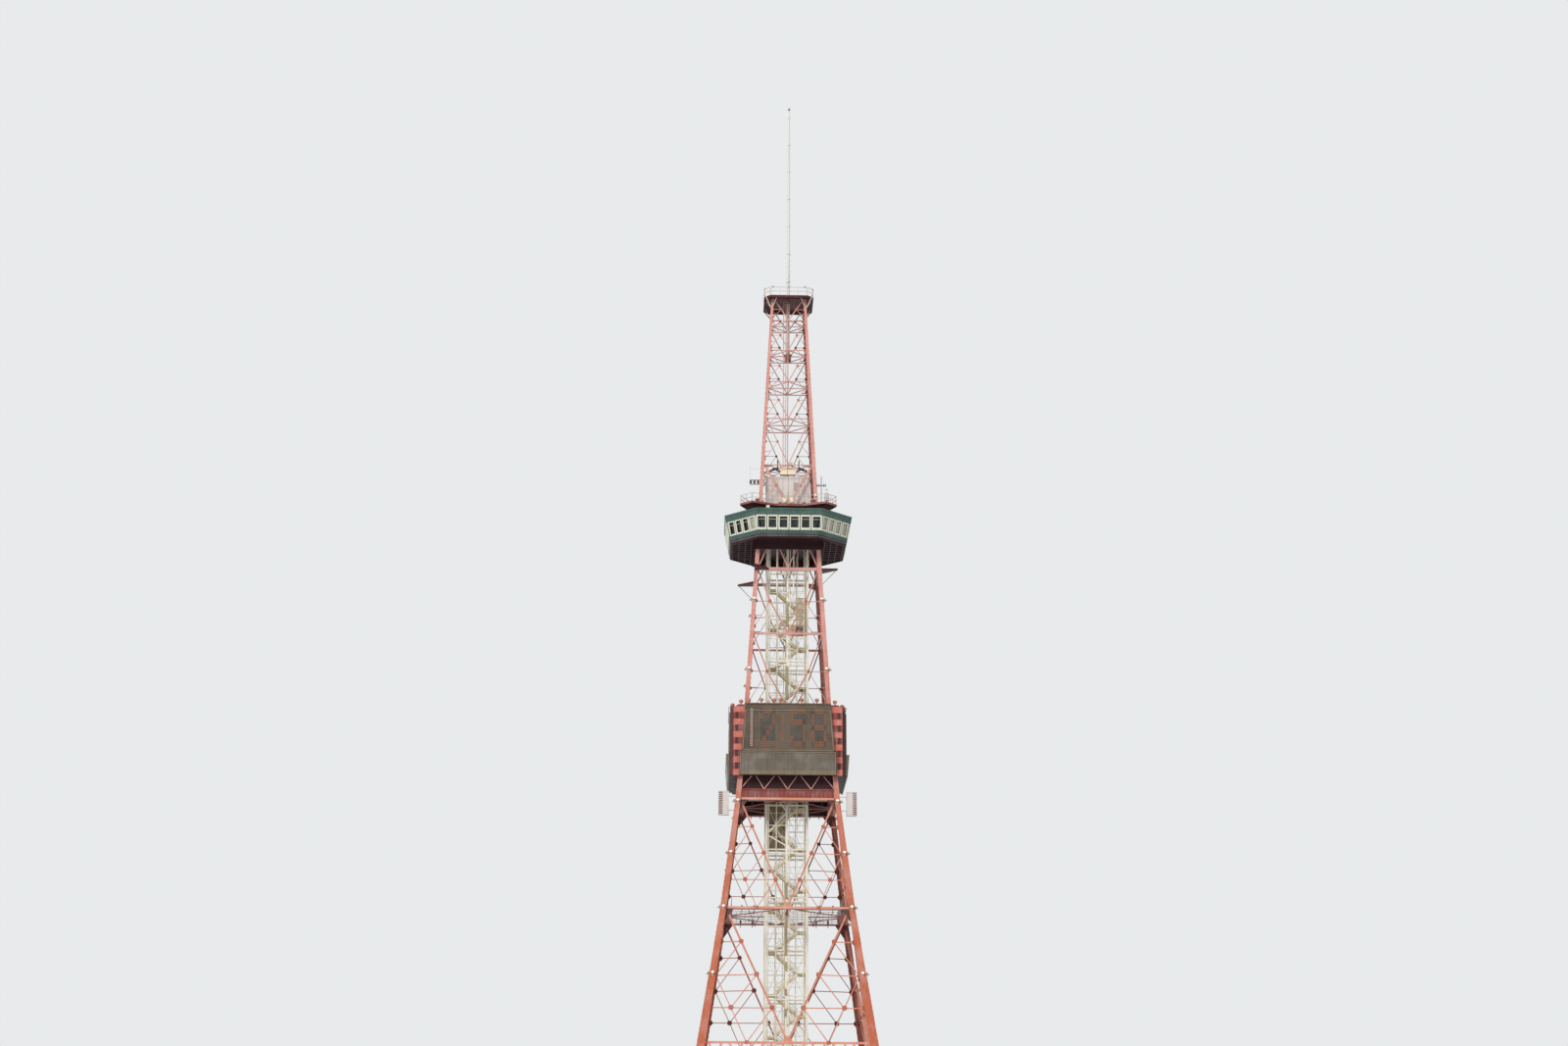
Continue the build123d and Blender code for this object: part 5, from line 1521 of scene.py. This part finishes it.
class MAST_OT_gallery_items(Step, bpy.types.Operator):
    """Edge strips, lamps, boxes, whips and a weather station on the gallery over the deck"""

    bl_idname = "mast.gallery_items"
    bl_label = "Gallery over the deck"

    # The floor's half-width, its cut corners, and the half-width and depth of the notch in each side
    HALF, CUT, WAIST, NOTCH = 0.585, 0.14, 0.17, 0.125
    RIBS = np.array([-0.3, -0.15, 0.0, 0.15, 0.3])
    # The cross arm: its place from front to back, its post, its ends, its forks and its height
    ARM_Y, POST_X, ARM_X, FORKS, ARM_Z = -0.42, 0.40, (0.345, 0.455), (0.35, 0.375, 0.43, 0.45), 0.255
    DRUM_X, DRUM_Y = 0.46, -0.49
    # The arm on the left leg: its height over the floor, its length and its boxes
    LEG_ARM_Z, LEG_ARM, LEG_BOXES = 0.29, 0.13, (0.03, 0.075, 0.12)
    # Boxes on the floor: near and far corner in plan and height. The first two have lids
    BOXES = ((-0.40, -0.47, -0.35, -0.43, 0.06), (0.27, -0.45, 0.33, -0.40, 0.055),
             (0.16, -0.425, 0.21, -0.39, 0.04), (-0.12, -0.44, -0.08, -0.41, 0.035))
    LAMP_FACING = unit(np.array([0.0, 0.5, 0.85]))
    CAN = ((0.016, -0.04), (0.028, -0.03), (0.034, 0.0), (0.037, 0.028), (0.037, 0.034))
    LENS = ((0.035, 0.032), (0.031, 0.042), (0.015, 0.048))
    LEG_LAMP = ((0.004, 0.0), (0.016, 0.006), (0.017, 0.016), (0.008, 0.024))
    DRUM = ((0.026, 0), (0.03, 0.03), (0.03, 0.085), (0.01, 0.1))
    DISC = ((0.003, -0.012), (0.016, -0.004), (0.016, 0.004), (0.003, 0.012))
    VENT = ((0.02, 0), (0.02, 0.03), (0.032, 0.035), (0.03, 0.05), (0.006, 0.058))

    def build(self, scene):
        self.edges()
        self.station()
        self.lamps()
        self.room()

    def edges(self):
        """A red lip along the floor's edge and ribs under it."""
        half, waist, level = self.HALF, self.WAIST, GALLERY_Z
        corners = points((self.CUT - half, -waist, waist, half - self.CUT, half),
                         (-half, self.NOTCH - half, self.NOTCH - half, -half, self.CUT - half), level)
        piece("gallery_fascia", strips(corners, 0.026, 0.006), "gallery_paint")
        ribs = bars(0.006, 0.014, (self.RIBS * 0.5, -0.34, level - 0.046), (self.RIBS, -0.43, level - 0.044))
        piece("gallery_ribs", ribs, "platform_plate")

    def station(self):
        """Whips, a cross arm and a small drum on the right, and an arm with boxes on the left leg."""
        base, x, y, z = GALLERY_Z, self.POST_X, self.ARM_Y, GALLERY_Z + self.ARM_Z
        dark = [tubes((x, y, base), (x, y, z + 0.115), 0.004),
                tubes((self.ARM_X[0], y, z), (self.ARM_X[1], y, z), 0.005),
                tubes((self.FORKS, y, z - 0.02), (self.FORKS, y, z + 0.02), 0.004)]
        x, y = self.DRUM_X, self.DRUM_Y
        pale = [spun(self.DRUM, (x, y, base + 0.045), UP, 14),
                tubes((x, y, base), (x, y, base + 0.18), 0.004),
                spun(self.DISC, (x, y, base + 0.185), UP, 10),
                slab((-0.275, -0.765, DECK_TOP_Z), (-0.235, -0.735, DECK_TOP_Z + 0.03))]
        level = base + self.LEG_ARM_Z
        leg = 0.01 - float(outer(level))
        tip, arm = leg - self.LEG_ARM, leg + 0.015
        lifts = np.array([0.0, 0.055]) + level
        dark.append(tubes((leg, arm, lifts), (tip, arm, lifts), 0.0045))
        for shift in self.LEG_BOXES:
            x = leg - shift
            dark.append(slab((x - 0.016, leg, level + 0.012), (x + 0.012, arm + 0.015, level + 0.045)))
        pale.append(tubes((tip, arm, level - 0.02), (tip, arm, level + 0.22), 0.0025))
        pale.append(tubes((tip, arm, level + 0.2), (leg, arm, level + 0.2), 0.0022))
        boxes = []
        for left, near, right, far, tall in self.BOXES:
            boxes.append(slab((left, near, base), (right, far, base + tall)))
        for left, near, right, far, tall in self.BOXES[:2]:
            lid = base + tall
            boxes.append(slab((left - 0.004, near - 0.004, lid), (right + 0.004, far + 0.004, lid + 0.005)))
        piece("gallery_whips", dark, "gallery_paint", "dark_fitting", once=True)
        piece("gallery_drum", pale, "aerial_shell", "pole_paint", once=True, smooth=True)
        piece("gallery_boxes", boxes, "gallery_paint", once=True)

    def lamps(self):
        """A pair of cream floodlights in the middle of each side, and a warm lamp on a leg."""
        level = GALLERY_Z + 0.15
        warm = spun(self.LEG_LAMP, (leg_place(level, 0.5), -outer(level), level), -BACK, 12)
        spots = points((-0.045, 0.045), -0.43, GALLERY_Z + 0.05)
        cans = [spun(self.CAN, spots, self.LAMP_FACING, 14), tubes(spots - UP * 0.05, spots, 0.006)]
        lenses = spun(self.LENS, spots, self.LAMP_FACING, 14)
        piece("leg_lamp", warm, "glass", "lamp_lens", once=True, smooth=True)
        piece("gallery_floodlights", cans, "corner_post", "lamp_body", smooth=True)
        piece("gallery_floodlight_lenses", lenses, "glass", "lamp_lens", smooth=True)

    def room(self):
        """Panel ribs, rims, a door with its handle, louvres and roof vents on the machine room."""
        base, (half, _, top) = low("machine_room"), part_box("machine_room")[1]
        across = np.linspace(-half, half, 9)
        ribs = [bars(0.006, 0.006, (across, -half - 0.002, base), (across, -half - 0.002, top), RIGHT, BACK),
                slab((-0.06, -half - 0.005, base + 0.03), (0.0, -half, base + 0.22)),
                tubes((-0.01, -half - 0.006, base + 0.11), (-0.01, -half - 0.006, base + 0.14), 0.002)]
        for level, deep in ((top - 0.01, 0.02), (base + 0.012, 0.024)):
            ribs.append(bars(0.010, deep, (-half - 0.005, -half - 0.003, level),
                             (half + 0.005, -half - 0.003, level), BACK, UP))
        levels = np.arange(base + 0.24, base + 0.34, 0.012)
        louvres = bars(0.012, 0.002, (0.07, -half - 0.004, levels), (0.12, -half - 0.004, levels),
                       unit(np.array([0.0, -1.0, -1.0])))
        vents = spun(self.VENT, ((0.12, -0.12), (-0.1, 0.12), top), UP, 12)
        piece("room_ribs", ribs, "machine_room_sheet")
        piece("room_louvres", louvres, "machine_room_sheet")
        piece("room_vents", vents, "machine_room_sheet", once=True, smooth=True)


class MAST_OT_mast(Step, bpy.types.Operator):
    """Ladder, feeder pipe, equipment box, plan bracing and corner plates of the upper mast"""

    bl_idname = "mast.mast"
    bl_label = "Upper mast"

    # The ladder's place and half-width, and the distance between its rungs
    LADDER_X, LADDER_Y, LADDER_HALF, RUNG_PITCH = -0.045, -0.12, 0.016, 0.03
    ARM = (0.024, 0.004)   # width and thickness of the first panel's plates
    # The first panel's covers: left, right, foot and head, from the panel's top
    COVERS = ((-0.098, -0.012, -0.115, -0.008), (-0.004, 0.086, -0.115, -0.008),
              (-0.008, 0.052, 0.012, 0.052))
    # Short plates beside the covers: each one's start and end, across and up
    PLATES = (((0.10, -0.07), (0.15, -0.045)), ((0.12, -0.02), (0.19, -0.055)),
              ((0.17, -0.03), (0.225, -0.075)))
    BOX_LAMP = ((0.006, 0.0), (0.024, 0.012), (0.028, 0.03), (0.014, 0.045))

    def build(self, scene):
        self.ladder(high("machine_room"), low("top_platform"))
        self.arms(Lattice("half", MAST_LEVELS[0], MAST_LEVELS[1], THIN, THIN[0]))
        self.covers(MAST_LEVELS[1])
        self.frames(MAST_LEVELS[1] + 0.014)
        self.box(MAST_LEVELS[4] - 0.075)

    def ladder(self, low_z, high_z):
        """A ladder, and a feeder pipe beside it."""
        x, y, feeder = self.LADDER_X, self.LADDER_Y, self.LADDER_X + 0.04
        left, right = x - self.LADDER_HALF, x + self.LADDER_HALF
        levels = np.arange(low_z + 0.02, high_z - 0.02, self.RUNG_PITCH)
        shapes = [tubes(((left, right), y, low_z), ((left, right), y, high_z), 0.0035),
                  tubes((left, y, levels), (right, y, levels), 0.002),
                  tubes((feeder, y + 0.01, low_z), (feeder, y + 0.01, high_z), 0.006, 8)]
        piece("mast_ladder", shapes, "upper_lattice_paint", "leg_paint", once=True)

    def arms(self, panel):
        """Plates that thicken the first panel's arms."""
        shapes = []
        for start, end in (((0.012, panel.beam), panel.knee),
                           (panel.knee, (panel.high_in - 0.02, panel.length - 0.03))):
            ends = panel.on_face(*np.stack([start, end], -1), 0.002)
            shapes.append(bars(*self.ARM, ends[0], ends[1]))
        piece("mast_foot_arms", mirrored(*shapes), "upper_lattice_paint")

    def covers(self, level):
        """Cream covers over the room, between dark plates and rods."""
        out = float(outer(level)) - 0.05
        tilt = unit(np.array([0.0, 0.35, 1.0]))
        covers, dark = [], []
        for left, right, low_z, high_z in self.COVERS:
            foot = np.array([(left + right) / 2, -out, level + low_z])
            covers.append(bars(right - left, 0.016, foot, foot + tilt * (high_z - low_z)))
            dark.append(bars(right - left + 0.006, 0.02, foot - tilt * 0.004, foot))
        for hand in (-1, 1):
            for start, end in self.PLATES:
                dark.append(bars(0.022, 0.012, (hand * start[0], -out, level + start[1]),
                                 (hand * end[0], -out, level + end[1]), UP))
            dark.append(tubes((hand * 0.13, -out, level - 0.05), (hand * 0.13, -out, level + 0.07), 0.007))
        x = (-0.09, 0.08)
        dark.append(tubes((x, 0.01 - out, level - 0.10), (x, out - 0.01, level + 0.004), 0.005))
        piece("mast_foot_covers", covers, "corner_post", "lamp_body", once=True)
        piece("mast_foot_fittings", dark, "gallery_paint", "dark_fitting", once=True)

    def corner_plates(self, reach, side, level, thick):
        """Three-cornered plates in the four corners inside the legs."""
        outline = [(reach, -reach), (reach, side - reach), (reach - side, -reach)]
        return four_ways(carried(outline, (0.0, 0.0, level), (0.0, 0.0, level + thick), RIGHT, BACK))

    def frames(self, level):
        """Cream corner plates and dark cross rods at the first level, small corner plates above it."""
        reach = float(leg_place(level, 1)) - 0.012
        dark = [tubes((-reach, side * reach, level + 0.004), (reach, -side * reach, level + 0.004), 0.004)
                for side in (-1, 1)]
        dark += [self.corner_plates(float(leg_place(height, 1)) - 0.008, 0.05, height + 0.014, 0.004)
                 for height in MAST_LEVELS[2:-1]]
        cream = self.corner_plates(reach, 0.13, level, 0.005)
        piece("mast_cream_plates", cream, "corner_post", "lamp_body", once=True)
        piece("mast_dark_bracing", dark, "gallery_paint", "dark_fitting", once=True)

    def box(self, level):
        """A deep red equipment box with a lid, a door and cable glands, and a lamp over it."""
        shapes = [slab((-0.045, -0.10, level), (0.035, -0.03, level + 0.068)),
                  slab((-0.05, -0.105, level + 0.068), (0.04, -0.025, level + 0.075)),
                  slab((-0.038, -0.104, level + 0.01), (0.028, -0.10, level + 0.06)),
                  spun([(0.008, -0.02), (0.008, 0.0)], ((-0.03, 0.02), -0.065, level), UP, 8)]
        lamp = spun(self.BOX_LAMP, (0.0, -0.065, level + 0.09), UP, 12)
        piece("mast_box", shapes, "gallery_paint", once=True)
        piece("mast_box_lamp", lamp, "corner_post", "lamp_body", once=True, smooth=True)


class MAST_OT_head(Step, bpy.types.Operator):
    """Struts, edge strips and lamps of the head platform, and the antenna's rings and steps"""

    bl_idname = "mast.head"
    bl_label = "Mast head and antenna"

    # The platform's half-width and half the length of its straight sides
    HALF, FRONT = 0.305, 0.23
    BEAMS = (-0.285, -0.245)
    # How far down the legs the struts start, and where they meet the front beam
    STRUT_DROP, STRUTS = 0.14, (0.29, 0.15)
    LAMPS = (-0.2, 0.0, 0.2)
    LAMP = ((0.006, 0.0), (0.012, 0.01), (0.012, 0.022), (0.005, 0.03))
    COLLAR = ((0.035, 0.0), (0.035, 0.012), (0.024, 0.02))
    # The pole's radius at its foot and at its tip
    RADII = (0.020, 0.009)
    RINGS, STEP_PITCH = 7, 0.035

    def build(self, scene):
        self.platform(low("top_platform"))
        self.antenna()

    def platform(self, level):
        """Strips round the floor, beams and struts under it, and lamps on its railing."""
        half, front, root = self.HALF, self.FRONT, level - self.STRUT_DROP
        corners = points((-front, front, half), (-half, -half, -front), level)
        place, leg = (self.BEAMS, level - 0.008), float(outer(root)) - 0.012
        edges = [strips(corners, 0.03, 0.006), bars(0.01, 0.016, (-0.27, *place), (0.27, *place), BACK, UP)]
        struts = mirrored(*[tubes((leg, -leg, root), (spread, self.BEAMS[0], level - 0.004), 0.0055)
                            for spread in self.STRUTS])
        lamps = spun(self.LAMP, (self.LAMPS, -0.30, PLATFORM_Z + 0.1), UP, 10)
        piece("head_fascia", edges, "platform_plate")
        piece("head_struts", struts, "upper_lattice_paint", "railing_paint")
        piece("head_lamps", lamps, "glass", "pale_dot", smooth=True)

    def antenna(self):
        """Flanged joints along the pole, a collar at its foot and step pins."""
        foot, top, bottom = PLATFORM_Z, low("beacon"), low("antenna_pole")

        def radius(height):
            return np.interp(height, [bottom, top], self.RADII)

        rings = [spun(self.COLLAR, (0.0, 0.0, foot), UP, 16)]
        for level in np.linspace(foot + 0.3, top - 0.1, self.RINGS).tolist():
            inner, rim = float(radius(level)), float(radius(level)) + 0.007
            flange = [(inner, -0.016), (rim, -0.012), (rim, 0.012), (inner, 0.016)]
            rings.append(spun(flange, (0.0, 0.0, level), UP, 16))
        steps = np.arange(foot + 0.06, top - 0.2, self.STEP_PITCH)
        hand = np.where(np.arange(len(steps)) % 2, 1.0, -1.0)
        pins = tubes((hand * radius(steps) * 0.9, 0.0, steps),
                     (hand * (radius(steps) + 0.018), 0.0, steps), 0.002)
        piece("antenna_rings", rings, "pole_paint", once=True, smooth=True)
        piece("antenna_steps", pins, "pole_paint", once=True)


class MAST_OT_footings(Step, bpy.types.Operator):
    """Base plates, stiffeners and anchor bolts on the footings"""

    bl_idname = "mast.footings"
    bl_label = "Footings"

    HALF, THICK = 0.1, 0.008
    BOLT_OUT = 0.083       # from a plate's middle to its rows of bolts
    BOLT = ((0.006, 0.0), (0.006, 0.036), (0.004, 0.04))
    NUT = ((0.012, 0.008), (0.012, 0.02), (0.009, 0.022))
    STIFFENER = ((0.0, 0.0), (0.036, 0.0), (0.0, 0.07))

    def build(self, scene):
        middle, half, out = float(leg_place(FOOT_Z, 0.5)), self.HALF, self.BOLT_OUT
        plates = [slab((middle - half, -middle - half, FOOT_Z),
                       (middle + half, half - middle, FOOT_Z + self.THICK))]
        for side in (-0.03, 0.03):
            corners, faces = four_ways(carried(self.STIFFENER, (0.056, side - 0.003, self.THICK),
                                               (0.056, side + 0.003, self.THICK), RIGHT, UP))
            plates.append((corners + (middle, -middle, FOOT_Z), faces))
        spots = points(middle + np.array([[-out], [out]]), np.array([-out, 0.0, out]) - middle, FOOT_Z)
        bolts = [spun(self.BOLT, spots, UP, 8), spun(self.NUT, spots, UP, 6)]
        piece("base_plates", plates, "leg_paint")
        piece("anchor_bolts", bolts, "gallery_paint", "dark_fitting")


class MAST_PT_panel(bpy.types.Panel):
    """The mast's pieces, colours and sizes in the sidebar"""

    bl_label = "Radio mast"
    bl_space_type = "VIEW_3D"
    bl_region_type = "UI"
    bl_category = "Mast"

    def draw(self, context):
        for step in STEPS:
            self.layout.operator("mast." + step)
        for group in (context.scene.mast_colours, context.scene.mast_sizes):
            for name in group.__annotations__:
                self.layout.prop(group, name)


OPERATORS = [MAST_OT_paint, MAST_OT_stage, MAST_OT_legs, MAST_OT_lacing, MAST_OT_gussets, MAST_OT_lamps,
             MAST_OT_stairs, MAST_OT_core, MAST_OT_galleries, MAST_OT_girder, MAST_OT_clock, MAST_OT_racks,
             MAST_OT_deck, MAST_OT_gallery_items, MAST_OT_mast, MAST_OT_head, MAST_OT_footings]
STEPS = [made.bl_idname.split(".")[1] for made in OPERATORS]
CLASSES = [MastColours, MastSizes, *OPERATORS, MAST_PT_panel]


def register():
    for item in CLASSES:
        bpy.utils.register_class(item)
    bpy.types.Scene.mast_colours = bpy.props.PointerProperty(type=MastColours)
    bpy.types.Scene.mast_sizes = bpy.props.PointerProperty(type=MastSizes)


def unregister():
    del bpy.types.Scene.mast_sizes
    del bpy.types.Scene.mast_colours
    for item in reversed(CLASSES):
        bpy.utils.unregister_class(item)


def main():
    register()
    for step in STEPS:
        getattr(bpy.ops.mast, step)()
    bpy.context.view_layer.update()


if __name__ == "__main__":
    main()
